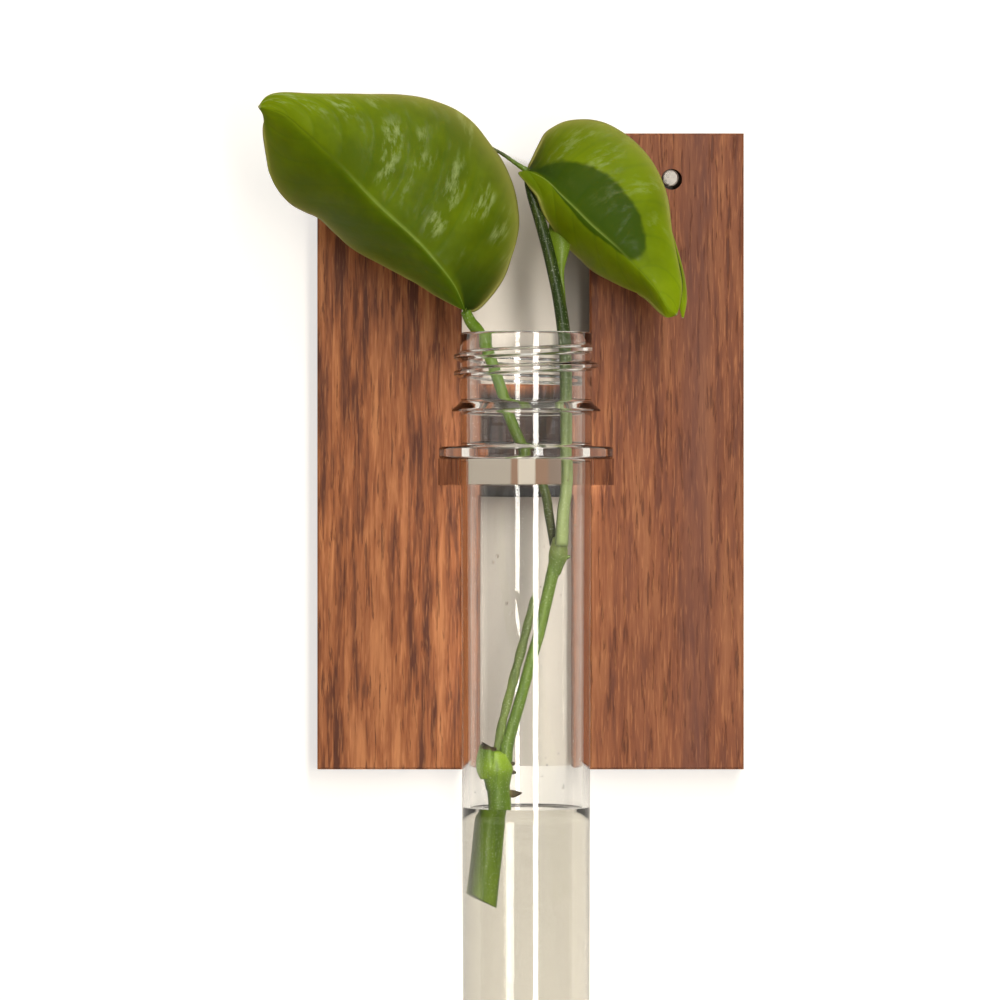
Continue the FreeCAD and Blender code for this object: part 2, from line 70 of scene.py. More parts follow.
# Stem routes from the top down: x, y, z and radius
LEFT_PETIOLE = (
    (-12.39, -24.98, -26.26, 0.95), (-11.36, -24.19, -28.29, 1.10), (-9.86, -23.40, -30.20, 1.18),
    (-8.51, -22.61, -33.21, 1.15), (-6.86, -21.82, -37.61, 1.12), (-5.51, -21.35, -41.60, 1.10),
    (-4.09, -20.95, -45.97, 1.10), (-1.72, -20.56, -51.95, 1.05), (2.39, -19.84, -59.41, 0.95),
    (3.57, -19.61, -65.06, 0.90), (4.44, -19.84, -70.60, 0.80))
RIGHT_PETIOLE = (
    (-0.77, -20.24, 0.61, 0.70), (-0.14, -20.24, -3.10, 0.92), (1.60, -20.56, -8.69, 1.10),
    (3.26, -21.03, -14.67, 1.15), (4.60, -21.66, -20.64, 1.15), (5.39, -22.21, -24.70, 1.20),
    (6.10, -22.77, -29.79, 1.25), (6.50, -23.00, -35.29, 1.20), (6.65, -23.08, -47.17, 1.15),
    (6.65, -23.08, -59.41, 1.15), (6.10, -23.08, -64.22, 1.20), (5.71, -23.08, -70.60, 1.30))
INTERNODE = (
    (4.76, -21.82, -73.40, 1.35), (4.00, -21.90, -76.20, 1.22), (2.90, -22.00, -81.00, 1.15),
    (1.45, -22.10, -87.30, 1.10), (0.10, -22.18, -91.80, 1.08), (-1.75, -22.28, -98.60, 1.08),
    (-3.50, -22.38, -104.60, 1.14), (-4.60, -22.45, -108.40, 1.25), (-5.00, -22.45, -111.60, 1.40))
SECOND_STEM = (
    (0.95, -23.10, -79.60, 0.40), (0.30, -23.20, -81.60, 0.70), (-1.35, -23.10, -88.50, 0.85),
    (-3.05, -23.00, -94.90, 0.88), (-4.75, -22.90, -101.40, 0.85), (-6.10, -22.72, -107.10, 0.80),
    (-6.60, -22.55, -111.00, 0.75))
LOWER_STEM = (
    (-6.40, -22.72, -115.60, 2.20), (-6.05, -22.72, -120.53, 2.18), (-6.40, -22.72, -126.00, 2.20),
    (-6.75, -22.72, -130.50, 2.22), (-7.46, -22.72, -137.56, 2.25))
UPPER_NODE = (
    (5.40, -22.40, -69.20, 1.30), (5.30, -22.00, -71.00, 1.70), (5.10, -21.80, -72.60, 1.85),
    (4.75, -21.82, -74.20, 1.50), (4.40, -21.86, -76.00, 1.18))
LOWER_NODE = (
    (-6.30, -22.69, -109.80, 1.90), (-6.55, -22.69, -111.40, 2.60), (-6.59, -22.69, -113.00, 3.05),
    (-6.50, -22.69, -114.80, 2.60), (-6.45, -22.70, -116.80, 2.22))
STALK = (
    (-0.77, -20.40, 0.60, 0.62), (-2.60, -20.60, 1.80, 0.42), (-5.20, -20.90, 3.60, 0.34),
    (-7.60, -21.20, 5.00, 0.26))
SIDE_SPUR = (
    (5.60, -21.60, -72.60, 0.62), (6.60, -21.90, -72.90, 0.42), (7.55, -22.20, -72.60, 0.26))
CUT_STUB = (
    (-7.70, -23.40, -114.20, 1.85), (-8.20, -23.60, -112.40, 2.05),
    (-8.35, -23.60, -110.60, 1.80), (-8.10, -23.50, -109.00, 1.45))
CUT_SCAR = (
    (-8.10, -23.50, -109.15, 1.50), (-8.05, -23.50, -108.75, 1.55),
    (-8.00, -23.48, -108.40, 1.25))
ROOT_BUDS = (
    ((-4.35, -22.65, -111.9, 0.34), (-3.70, -22.70, -111.9, 0.46), (-3.05, -22.75, -111.8, 0.20)),
    ((-4.10, -22.65, -113.5, 0.34), (-3.45, -22.70, -113.5, 0.42), (-2.80, -22.75, -113.6, 0.18)),
    ((-4.25, -22.65, -117.5, 0.70), (-3.30, -22.70, -117.6, 0.74), (-2.30, -22.80, -117.5, 0.40),
     (-1.70, -22.85, -117.4, 0.10)))

# Blade routes: x, y, z and half width
TORN_TIP = (
    (26.5, -20.95, -11.0, 0.30), (27.4, -21.10, -15.5, 0.80), (28.15, -21.25, -20.0, 1.15),
    (28.65, -21.45, -24.0, 0.95), (28.8, -21.65, -27.4, 0.18))
SHEATH = (
    (5.2, -17.2, -9.0, 1.70), (5.4, -17.8, -11.5, 2.05), (5.65, -18.8, -14.0, 1.75),
    (5.65, -20.0, -16.5, 1.10), (5.7, -21.2, -19.0, 0.60), (6.2, -22.0, -24.0, 0.40),
    (6.9, -22.6, -28.6, 0.25))

# Leaf outlines as shares of the leaf's length: along the chord, across it
LEFT_UPPER = (
    (0.0, 0.0), (-0.022, 0.046), (-0.014, 0.152), (0.015, 0.239), (0.057, 0.317), (0.103, 0.368),
    (0.179, 0.422), (0.269, 0.459), (0.348, 0.472), (0.425, 0.482), (0.491, 0.476), (0.549, 0.457),
    (0.629, 0.412), (0.721, 0.335), (0.814, 0.249), (0.899, 0.166), (0.975, 0.096), (1.004, 0.048),
    (1.0, 0.0))
LEFT_RIB = (
    (0.0, 0.0), (0.087, 0.035), (0.198, 0.050), (0.297, 0.054), (0.439, 0.048), (0.541, 0.049),
    (0.642, 0.055), (0.739, 0.055), (0.835, 0.052), (0.922, 0.043), (1.0, 0.0))
LEFT_LOWER = (
    (0.0, 0.0), (0.039, -0.014), (0.114, -0.035), (0.194, -0.051), (0.310, -0.084),
    (0.426, -0.117), (0.516, -0.123), (0.591, -0.125), (0.644, -0.144), (0.697, -0.158),
    (0.758, -0.155), (0.815, -0.135), (0.870, -0.093), (0.926, -0.047), (0.966, -0.010),
    (1.0, 0.0))
RIGHT_UPPER = (
    (0.0, 0.0), (-0.010, 0.043), (-0.042, 0.135), (-0.061, 0.201), (-0.041, 0.280),
    (0.006, 0.345), (0.062, 0.394), (0.128, 0.427), (0.223, 0.449), (0.312, 0.452),
    (0.394, 0.441), (0.483, 0.411), (0.558, 0.368), (0.640, 0.305), (0.729, 0.242),
    (0.801, 0.195), (0.889, 0.132), (0.940, 0.070), (0.975, 0.010))
RIGHT_RIB = (
    (0.0, 0.0), (0.096, 0.029), (0.194, 0.028), (0.286, 0.028), (0.405, 0.027), (0.579, 0.036),
    (0.786, 0.031), (0.915, 0.005), (0.975, 0.010))
RIGHT_LOWER = (
    (0.0, 0.0), (-0.020, -0.039), (0.046, -0.046), (0.121, -0.050), (0.203, -0.087),
    (0.285, -0.110), (0.374, -0.121), (0.456, -0.118), (0.545, -0.115), (0.618, -0.096),
    (0.707, -0.067), (0.793, -0.035), (0.845, -0.029), (0.908, -0.032), (0.950, -0.029),
    (0.975, 0.010))

# How far each leaf stands back, in shares of its length: along, lower edge, rib, upper edge
LEFT_DEPTHS = (
    (0.00, 0.00, 0.00, 0.04), (0.05, 0.01, -0.02, 0.04), (0.15, 0.06, -0.06, 0.03),
    (0.30, 0.13, -0.09, 0.01), (0.50, 0.16, -0.11, -0.01), (0.70, 0.14, -0.10, -0.02),
    (0.85, 0.06, -0.08, -0.02), (0.95, -0.02, -0.06, -0.03), (1.00, -0.04, -0.04, -0.04))
RIGHT_DEPTHS = (
    (0.00, 0.00, 0.00, 0.05), (0.05, 0.00, -0.01, 0.05), (0.15, -0.02, -0.04, 0.05),
    (0.30, 0.10, -0.06, 0.04), (0.50, 0.18, -0.07, 0.03), (0.70, 0.14, -0.06, 0.02),
    (0.85, 0.05, -0.04, 0.01), (0.95, 0.00, -0.02, 0.00), (1.00, 0.00, 0.00, 0.00))


def paint(red, green, blue):
    """A screen colour of 0 to 255 as the linear colour that a socket takes."""
    share = np.array([red, green, blue]) / 255.0
    linear = np.where(share <= 0.04045, share / 12.92, ((share + 0.055) / 1.055) ** 2.4)
    return (*(float(part) for part in linear), 1.0)


class VaseSizes(bpy.types.PropertyGroup):
    """Sizes that the dressed pieces are worked out from."""
    bore_radius: bpy.props.FloatProperty(
        name="Bore radius", description="Inside radius of the tube at its mouth",
        default=10.9 * MM, unit="LENGTH", precision=5)
    water_level: bpy.props.FloatProperty(
        name="Water level", description="Height of the water's surface from the tube's seat",
        default=-66.29 * MM, unit="LENGTH", precision=5)
    meniscus: bpy.props.FloatProperty(
        name="Meniscus", description="How far the water climbs the wall",
        default=0.35 * MM, unit="LENGTH", precision=5)
    leaf_thickness: bpy.props.FloatProperty(
        name="Leaf thickness", description="Thickness of both leaves",
        default=0.45 * MM, unit="LENGTH", precision=5)
    vein_relief: bpy.props.FloatProperty(
        name="Vein relief", description="How far a leaf bulges between its side veins",
        default=0.22 * MM, unit="LENGTH", precision=5)
    droplet_count: bpy.props.IntProperty(
        name="Droplets", description="Drops of condensation inside the tube",
        default=80, min=0, max=600)


class VaseColours(bpy.types.PropertyGroup):
    """Colours of the finishes."""
    wood_dark: bpy.props.FloatVectorProperty(
        name="Wood, dark", description="Dark streaks of the hardwood",
        default=paint(100, 52, 28), size=4, subtype="COLOR", min=0, max=1)
    wood_middle: bpy.props.FloatVectorProperty(
        name="Wood, middle", description="Body colour of the hardwood",
        default=paint(168, 100, 56), size=4, subtype="COLOR", min=0, max=1)
    wood_light: bpy.props.FloatVectorProperty(
        name="Wood, light", description="Light streaks of the hardwood",
        default=paint(208, 138, 86), size=4, subtype="COLOR", min=0, max=1)
    leaf_green: bpy.props.FloatVectorProperty(
        name="Leaf green", description="Body colour of the leaves",
        default=paint(72, 94, 0), size=4, subtype="COLOR", min=0, max=1)
    leaf_young: bpy.props.FloatVectorProperty(
        name="Leaf, young", description="Yellower green near tips and margins",
        default=paint(124, 147, 4), size=4, subtype="COLOR", min=0, max=1)
    stem_green: bpy.props.FloatVectorProperty(
        name="Stem green", description="Body colour of the stems",
        default=paint(86, 110, 30), size=4, subtype="COLOR", min=0, max=1)
    water_tint: bpy.props.FloatVectorProperty(
        name="Water tint", description="Slight tint of the standing water",
        default=(0.67, 0.65, 0.60, 1.0), size=4, subtype="COLOR", min=0, max=1)


class StageSizes(bpy.types.PropertyGroup):
    """The studio around the vase."""
    camera_distance: bpy.props.FloatProperty(
        name="Camera distance", description="From the wall to the camera",
        default=1.106, unit="LENGTH")
    lens: bpy.props.FloatProperty(
        name="Lens", description="Focal length on a 36 mm sensor", default=205.9, unit="CAMERA")
    key_power: bpy.props.FloatProperty(
        name="Key light", description="Power of the tall light at the right",
        default=28.0, unit="POWER")
    room_light: bpy.props.FloatProperty(
        name="Room light", description="Strength of the pale room around the vase",
        default=0.20, min=0, max=2)
    floor_drop: bpy.props.FloatProperty(
        name="Floor drop", description="How far the floor lies below the nails",
        default=0.4, unit="LENGTH")


# Surfaces


def spline(points, count):
    """Rows on a smooth curve through the points, at even steps of length. Between rows B and
    C, with neighbours A and D and a share f: half of 2B + (C-A)f + (2A-5B+4C-D)f^2 +
    (3B-A-3C+D)f^3. Columns past the third are carried along."""
    given = np.asarray(points, float)
    rows = np.vstack([2 * given[0] - given[1], given, 2 * given[-1] - given[-2]])
    steps = np.linspace(0, len(given) - 1, count * 6)
    index = np.minimum(steps.astype(int), len(given) - 2)
    f = (steps - index)[:, None]
    a, b, c, d = rows[index], rows[index + 1], rows[index + 2], rows[index + 3]
    dense = 0.5 * (2 * b + (c - a) * f + (2 * a - 5 * b + 4 * c - d) * f ** 2
                   + (3 * b - a - 3 * c + d) * f ** 3)
    steps = np.linalg.norm(np.diff(dense[:, :3], axis=0), axis=1)
    run = np.concatenate([[0], np.cumsum(steps)])
    even = np.linspace(0, run[-1], count)
    return np.column_stack([np.interp(even, run, column) for column in dense.T])


def smooth_step(low, high, values):
    """0 below low, 1 above high, 3t^2 - 2t^3 between them."""
    t = np.clip((values - low) / (high - low), 0, 1)
    return t * t * (3 - 2 * t)


def put(name, data):
    """An object in the scene, at the origin."""
    piece = bpy.data.objects.new(name, data)
    bpy.context.scene.collection.objects.link(piece)
    return piece


def surface(name, rows, start=None, end=None, wrap=False, facing=None, marks=None, uv=None):
    """A mesh object from a grid of points in metres, rows by columns. wrap joins the last
    column to the first, start and end are the poles that close it. Closed grids are turned
    so that their volume is positive, open ones so that they face the given direction."""
    count, wide = rows.shape[:2]
    number = np.arange(count * wide).reshape(count, wide)
    if wrap:
        number = np.hstack([number, number[:, :1]])
    quads = np.stack([number[:-1, :-1], number[:-1, 1:], number[1:, 1:], number[1:, :-1]], -1)
    quads = quads.reshape(-1, 4)
    fans = np.zeros((0, 3), int)
    points = rows.reshape(-1, 3)
    for pole, ring, step in ((start, number[0], -1), (end, number[-1], 1)):
        if pole is not None:
            ring = ring[::step]
            tip = np.full(len(ring) - 1, len(points))
            fans = np.vstack([fans, np.column_stack([ring[:-1], ring[1:], tip])])
            points = np.vstack([points, pole])
    corners = np.vstack([quads[:, [0, 1, 2]], quads[:, [0, 2, 3]], fans])
    p, q, r = points[corners[:, 0]], points[corners[:, 1]], points[corners[:, 2]]
    if facing is None:
        outward = np.einsum("ij,ij->", p, np.cross(q, r))
    else:
        outward = (np.cross(q - p, r - p) @ np.asarray(facing, float)).sum()
    faces = quads.tolist() + fans.tolist()
    if outward < 0:
        faces = [face[::-1] for face in faces]
    mesh = bpy.data.meshes.new(name)
    mesh.from_pydata(points.tolist(), [], faces)
    mesh.shade_smooth()
    for label, values in (marks or {}).items():
        layer = mesh.attributes.new(label, "FLOAT", "POINT")
        full = np.zeros(len(points))
        full[:count * wide] = np.broadcast_to(values, (count, wide)).reshape(-1)
        if start is not None:
            full[count * wide] = full[0]
        if end is not None:
            full[-1] = full[count * wide - 1]
        layer.data.foreach_set("value", full.astype(np.float32))
    if uv is not None:
        corner = np.zeros(len(mesh.loops), np.int32)
        mesh.loops.foreach_get("vertex_index", corner)
        flat = uv.reshape(-1, 2)[corner]
        mesh.uv_layers.new(name="Leaf").data.foreach_set("uv", flat.astype(np.float32).ravel())
    mesh.validate()
    return put(name, mesh)


def thicken(piece, thickness):
    """Gives an open surface its thickness, away from the side it faces."""
    skin = piece.modifiers.new("Thickness", "SOLIDIFY")
    skin.thickness, skin.offset = thickness, -1.0


def dress(piece, body, slot, material, *nodes):
    """Puts a piece on its body, gives it its material and hides its nodes. The slot is not used.
    """
    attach(piece, body)
    if nodes:
        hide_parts(*nodes)
    piece.data.materials.clear()
    piece.data.materials.append(material)


def rounded(corners):
    """A profile with eased corners. Each row is radius, height and easing e. The corner C is
    replaced by (1-t)^2 A + 2t(1-t) C + t^2 B, where A and B lie e away along its two runs."""
    table = np.asarray(corners, float)
    point, easing = table[:, :2], table[:, 2:]
    before = point - np.roll(point, 1, axis=0)
    after = np.roll(point, -1, axis=0) - point
    before /= np.maximum(np.linalg.norm(before, axis=1, keepdims=True), 1e-9)
    after /= np.maximum(np.linalg.norm(after, axis=1, keepdims=True), 1e-9)
    a, b = (point - before * easing)[:, None], (point + after * easing)[:, None]
    t = np.linspace(0, 1, 7)[None, :, None]
    path = ((1 - t) ** 2 * a + 2 * t * (1 - t) * point[:, None] + t ** 2 * b).reshape(-1, 2)
    moved = np.linalg.norm(np.diff(path, axis=0), axis=1) > 1e-6
    return path[np.concatenate([[True], moved])]


def turned(name, profile, columns, ridge=None):
    """A profile of radius and height, turned about the tube's axis: x = r cos a, y = r sin a.
    ridge gives the height that a thread adds to r at each angle and height. The profile
    starts and ends on the axis, and both ends become poles."""
    angle = np.linspace(0, 2 * math.pi, columns, endpoint=False)[None, :]
    radius = np.broadcast_to(profile[1:-1, :1], (len(profile) - 2, columns)).copy()
    height = np.broadcast_to(profile[1:-1, 1:], radius.shape)
    if ridge is not None:
        radius += ridge(profile[1:-1], angle)
    rows = np.stack([AXIS[0] + radius * np.cos(angle), AXIS[1] + radius * np.sin(angle),
                     SEAT + height], axis=-1)
    start = (AXIS[0], AXIS[1], SEAT + profile[0, 1])
    end = (AXIS[0], AXIS[1], SEAT + profile[-1, 1])
    return surface(name, rows * MM, np.array(start) * MM, np.array(end) * MM, wrap=True)


def round_end(radius):
    """A quarter circle from the axis out to the radius: r = R sin a, and z = -R cos a from
    the centre of the tube's end."""
    a = np.linspace(0, math.pi / 2, 24)
    return np.column_stack([radius * np.sin(a), END_CENTRE - radius * np.cos(a)])


def bore_at(height, sizes):
    """The bore's radius at a height. It widens evenly from the round end to the mouth."""
    return np.interp(height, (END_CENTRE, BORE_TOP), (BORE_END, sizes.bore_radius / MM))


def swept(name, route, count=90, columns=28, grooves=0.0, lumps=0.0, slant=0.0):
    """A stem: rounds of radius r(1 + g cos 3a + l sin(40s + 2a)) across a smooth route, where
    s is the share of its rows so far, g is grooves and l is lumps. slant lowers the end's
    right side by that much for a sloped cut."""
    line = spline(route, count)
    centre, radius = line[:, :3], line[:, 3]
    ahead = np.gradient(centre, axis=0)
    ahead /= np.linalg.norm(ahead, axis=1, keepdims=True)
    side = np.cross(ahead, [0.0, 1.0, 0.0])
    side /= np.linalg.norm(side, axis=1, keepdims=True)
    other = np.cross(side, ahead)
    a = np.linspace(0, 2 * math.pi, columns, endpoint=False)
    run = np.linspace(0, 1, count)[:, None]
    wide = radius[:, None] * (1 + grooves * np.cos(3 * a)[None, :]
                              + lumps * np.sin(40 * run + 2 * a[None, :]))
    rows = (centre[:, None] + side[:, None] * (wide * np.cos(a))[..., None]
            + other[:, None] * (wide * np.sin(a))[..., None])
    if slant:
        reach = smooth_step(0.75, 1.0, run)
        rows[..., 2] -= reach * slant * (rows[..., 0] - centre[:, None, 0]) / radius[:, None]
    first, last = centre[0] - ahead[0] * radius[0] * 0.35, rows[-1].mean(axis=0)
    return surface(name, rows * MM, first * MM, last * MM, wrap=True, marks={"along": run})


def grow(name, route, slot, material, *nodes, **shape):
    """Sweeps one stem and puts it on the cutting."""
    dress(swept(name, route, **shape), "cutting", slot, material, *nodes)


def leaf(name, base, turn, length, upper, rib, lower, depths, veins, relief, wave):
    """A leaf as a grid from base to tip (u) and from lower edge over the rib to the upper
    edge (v from -1 to 1). A point lies at rib + (edge - rib)|v| across, and its depth is
    rib + (edge - rib)|v|^1.6, less a bulge of relief * |sin(pi N c)|^0.6 between N side veins,
    where c = u - 0.24|v|^1.3, plus half of relief in the rib's crease and a slow wave at the
    margins. The bulge fades at the rib, the edges, the base and the tip."""
    count, half = 150, 36
    u = np.linspace(0, 1, count)[:, None]
    v = np.linspace(-1, 1, 2 * half + 1)[None, :]
    high, middle, low = (spline([(*point, 0.0) for point in table], count)[:, :2]
                         for table in (upper, rib, lower))
    share = np.abs(v)[..., None]
    edge = np.where(v[..., None] > 0, high[:, None], low[:, None])
    flat = middle[:, None] + (edge - middle[:, None]) * share
    table = np.array(depths)
    chord = np.clip(flat[..., 0], 0, 1)
    low_back, rib_back, high_back = (np.interp(chord, table[:, 0], table[:, column])
                                     for column in (1, 2, 3))
    edge_back = np.where(v > 0, high_back, low_back)
    depth = rib_back + (edge_back - rib_back) * np.abs(v) ** 1.6
    c = u - 0.24 * np.abs(v) ** 1.3
    body = np.clip(np.abs(v) * (1 - np.abs(v)) * 4, 0, 1) ** 0.6 * smooth_step(0, 0.1, u)
    body = body * smooth_step(0, 0.12, 1 - u)
    bulge = np.abs(np.sin(math.pi * veins * c)) ** 0.6 * body
    crease = np.exp(-(v / 0.035) ** 2) * (1 - u) * 1.2
    ripple = wave * v ** 2 * np.sin(2 * math.pi * (1.7 * u + 0.15 * np.sign(v))) * body ** 0.3
    along = np.array([math.cos(math.radians(turn)), 0, math.sin(math.radians(turn))])
    across = np.array([-along[2], 0, along[0]])
    across = across * (1 if across[2] > 0 else -1)
    rows = np.array(base) + length * (flat[..., :1] * along + flat[..., 1:] * across)
    rows[..., 1] += length * depth - relief * bulge + relief * 0.5 * crease + ripple
    marks = {"sinus_shade": np.exp(-((u / 0.18) ** 2)) * smooth_step(0.02, 0.20, v),
             "margin": np.abs(v) ** 14, "rib": np.exp(-(v / (0.022 - 0.012 * u)) ** 2)}
    uv = np.stack(np.broadcast_arrays(u, 0.5 + 0.5 * v), axis=-1)
    return surface(name, rows * MM, facing=(0, -1, 0), marks=marks, uv=uv)


# Finishes


class Graph:
    """Adds nodes to a tree, sets their sockets and links them. end is the node that takes the
    results."""

    def __init__(self, tree, end=None):
        self.tree, self.end = tree, end

    def add(self, kind, sockets=None, **settings):
        """A node with its settings, its sockets set to a number or linked to an output."""
        node = self.tree.nodes.new(kind)
        for name, value in settings.items():
            setattr(node, name, value)
        for key, value in (sockets or {}).items():
            if isinstance(value, bpy.types.NodeSocket):
                self.tree.links.new(value, node.inputs[key])
            else:
                node.inputs[key].default_value = value
        return node

    def feed(self, **sockets):
        """Links worked-out values to the node at the end."""
        for key, value in sockets.items():
            self.tree.links.new(value, self.end.inputs[key.replace("_", " ")])

    def math(self, operation, *values, clamp=False):
        """The result of a Math node."""
        return self.add("ShaderNodeMath", dict(enumerate(values)), operation=operation,
                        use_clamp=clamp).outputs[0]

    plus = partialmethod(math, "ADD")
    less = partialmethod(math, "SUBTRACT")
    times = partialmethod(math, "MULTIPLY")

    def apart(self, first, second):
        """How far apart two values are, |a - b|."""
        return self.math("ABSOLUTE", self.less(first, second))

    def wander(self, value, by):
        """A value of 0 to 1 turned into one around 0: by (value - 0.5)."""
        return self.times(self.less(value, 0.5), by)

    def mix(self, factor, first, second, blend="MIX"):
        """A colour between two colours."""
        return self.add("ShaderNodeMix", {0: factor, 6: first, 7: second}, data_type="RGBA",
                        blend_type=blend, clamp_factor=True).outputs[2]

    def layers(self, colour, *coats):
        """The colour under coats of other colours, each a factor and its colour."""
        for factor, other in coats:
            colour = self.mix(factor, colour, other)
        return colour

    def spread(self, value, low, high, start=0.0, stop=1.0):
        """The value's way from low to high as a smooth way from start to stop."""
        return self.add("ShaderNodeMapRange", {0: value, 1: low, 2: high, 3: start, 4: stop},
                        interpolation_type="SMOOTHSTEP").outputs[0]

    def ramp(self, value, *stops):
        """A colour by place, through the stops."""
        node = self.add("ShaderNodeValToRGB", {0: value})
        bar = node.color_ramp.elements
        while len(bar) < len(stops):
            bar.new(0.5)
        for element, (place, colour) in zip(bar, stops):
            element.position, element.color = place, colour
        return node.outputs[0]

    def noise(self, vector, scale, detail=3.0, rough=0.55, distortion=0.0):
        """Noise of a scale, per metre."""
        return self.add("ShaderNodeTexNoise", {
            "Vector": vector, "Scale": scale, "Detail": detail, "Roughness": rough,
            "Distortion": distortion}).outputs["Fac"]

    def place(self):
        """Object coordinates."""
        return self.add("ShaderNodeTexCoord").outputs["Object"]

    def axes(self, vector):
        """The x, y and z of a vector."""
        return self.add("ShaderNodeSeparateXYZ", {0: vector}).outputs

    def vector(self, *parts):
        """A vector from its x, y and z."""
        return self.add("ShaderNodeCombineXYZ", dict(enumerate(parts))).outputs[0]

    def behind(self):
        """1 on the back of a surface, 0 on its front."""
        return self.add("ShaderNodeNewGeometry").outputs["Backfacing"]

    def mark(self, label):
        """A number that the mesh carries."""
        return self.add("ShaderNodeAttribute", attribute_name=label).outputs["Fac"]

    def bump(self, height, distance, strength=1.0):
        """A normal from a height."""
        return self.add("ShaderNodeBump", {"Height": height, "Distance": distance,
                                           "Strength": strength}).outputs[0]

    def effect(self, name, vector, **sockets):
        """A shared effect with its own values. Its node group is built at its first use."""
        tree = bpy.data.node_groups.get(name) or EFFECTS[name](name)
        return self.add("ShaderNodeGroup", {"Vector": vector, **sockets}, node_tree=tree).outputs


def shared(name, results, **numbers):
    """The graph of a new node group that takes a vector and named numbers and gives the named
    results, with what it takes."""
    tree = bpy.data.node_groups.new(name, "ShaderNodeTree")
    tree.interface.new_socket(name="Vector", in_out="INPUT", socket_type="NodeSocketVector")
    for label, default in numbers.items():
        socket = tree.interface.new_socket(name=label, in_out="INPUT",
                                           socket_type="NodeSocketFloat")
        socket.default_value = default
    for label in results:
        tree.interface.new_socket(name=label, in_out="OUTPUT", socket_type="NodeSocketFloat")
    graph = Graph(tree)
    graph.end = graph.add("NodeGroupOutput")
    return graph, graph.add("NodeGroupInput").outputs


def fibre_group(name):
    """Streaks that run up and down: noise on coordinates squeezed along z."""
    g, taken = shared(name, ("Streak", "Thread"), Fineness=100.0, Squeeze=0.05)
    axes = g.axes(taken["Vector"])
    flat = g.vector(axes[0], axes[1], g.times(axes[2], taken["Squeeze"]))
    g.feed(Streak=g.noise(flat, taken["Fineness"], 4.0, 0.6, 0.3),
           Thread=g.noise(flat, g.times(taken["Fineness"], 4.0), 2.0, 0.5))
    return g.tree


def mottle_group(name):
    """Soft patches and fine specks, from two noises."""
    g, taken = shared(name, ("Patch", "Speck"), Size=100.0)
    finer = g.noise(taken["Vector"], g.times(taken["Size"], 9.0), 2.0, 0.5)
    g.feed(Patch=g.noise(taken["Vector"], taken["Size"], 3.0, 0.6),
           Speck=g.spread(finer, 0.60, 0.72))
    return g.tree


def smear_group(name):
    """Handling marks on something clear or polished: how rough it is, and a slow ripple."""
    g, taken = shared(name, ("Roughness", "Ripple"), Least=0.0, Most=0.05)
    haze = g.noise(taken["Vector"], 90.0, 4.0, 0.65)
    rough = g.add("ShaderNodeMapRange", {0: haze, 1: 0.45, 2: 0.75, 3: taken["Least"],
                                         4: taken["Most"]}).outputs[0]
    g.feed(Roughness=rough, Ripple=g.noise(taken["Vector"], 130.0, 1.0, 0.4))
    return g.tree


EFFECTS = {"Fibre": fibre_group, "Mottle": mottle_group, "Smear": smear_group}


def finish(name, **sockets):
    """A material with one Principled shader, and its graph. Plain values go on its sockets."""
    material = bpy.data.materials.new(name)
    material.use_nodes = True
    shader = material.node_tree.nodes["Principled BSDF"]
    for key, value in sockets.items():
        shader.inputs[key.replace("_", " ")].default_value = value
    return material, Graph(material.node_tree, shader)


def walnut(colours):
    """Reddish-brown hardwood: broad and fine streaks up the board, open dark pores, a redder
    right side, painted shadow of the tube and shelf on the bridge's front, and a satin oil finish."""
    material, g = finish("Walnut", Specular_IOR_Level=0.28, Coat_Roughness=0.38)
    at = g.place()
    x, y, z = g.axes(at)
    broad = g.effect("Fibre", at, Fineness=120.0, Squeeze=0.09)
    fine = g.effect("Fibre", at, Fineness=700.0, Squeeze=0.075)
    pores = g.effect("Fibre", at, Fineness=1250.0, Squeeze=0.085)
    tone = g.plus(g.times(broad["Streak"], 0.42), g.times(fine["Streak"], 0.58))
    colour = g.ramp(tone, (0.40, colours.wood_dark), (0.50, colours.wood_middle),
                    (0.61, colours.wood_light))
    colour = g.mix(g.spread(x, 0.0, 0.02, 0.0, 0.62), colour, paint(118, 64, 42))
    band = g.spread(g.noise(at, 16.0, 2.0, 0.5), 0.40, 0.65, 0.0, 0.35)
    colour = g.mix(band, colour, paint(126, 74, 44), "MULTIPLY")
    pore = g.spread(pores["Streak"], 0.555, 0.64)
    vein = g.apart(x, 0.0318)
    # Painted shadow of the clear tube and the shelf on the bridge's front: its two sides, its
    # top, its bottom and how far back it goes
    painted_tube_shadow = g.times(g.spread(g.apart(x, AXIS[0] * MM), 0.0125, 0.0110),
                   g.spread(z, -0.0395, -0.0425))
    painted_tube_shadow = g.times(painted_tube_shadow, g.spread(z, -0.058, -0.0605, 0.90, 1.0))
    painted_tube_shadow = g.times(painted_tube_shadow, g.spread(z, -0.064, -0.062))
    painted_tube_shadow = g.times(painted_tube_shadow, g.spread(y, -0.0025, -0.0050))
    colour = g.layers(
        colour, (g.times(pore, 0.70), paint(86, 42, 22)),
        (g.spread(fine["Thread"], 0.54, 0.68, 0.0, 0.30), colours.wood_light),
        (g.spread(vein, 0.0044, 0.0010, 0.0, 0.42), paint(108, 66, 54)),
        (painted_tube_shadow, paint(22, 15, 6)))
    height = g.less(g.times(fine["Thread"], 0.25), pore)
    g.feed(Base_Color=colour, Roughness=g.plus(0.40, g.times(fine["Streak"], 0.22)),
           Coat_Weight=g.spread(broad["Streak"], 0.3, 0.7, 0.02, 0.08),
           Normal=g.bump(height, 0.00006, 0.8))
    return material


def steel():
    """Dull zinc-plated steel with small dents and handling marks."""
    material, g = finish("Nail_Steel", Metallic=0.85, Anisotropic=0.2)
    at = g.place()
    dents = g.effect("Mottle", at, Size=700.0)
    g.feed(Base_Color=g.mix(dents["Speck"], paint(176, 170, 162), paint(138, 130, 122)),
           Roughness=g.effect("Smear", at, Least=0.24, Most=0.42)["Roughness"],
           Normal=g.bump(dents["Patch"], 0.00005, 0.5))
    return material


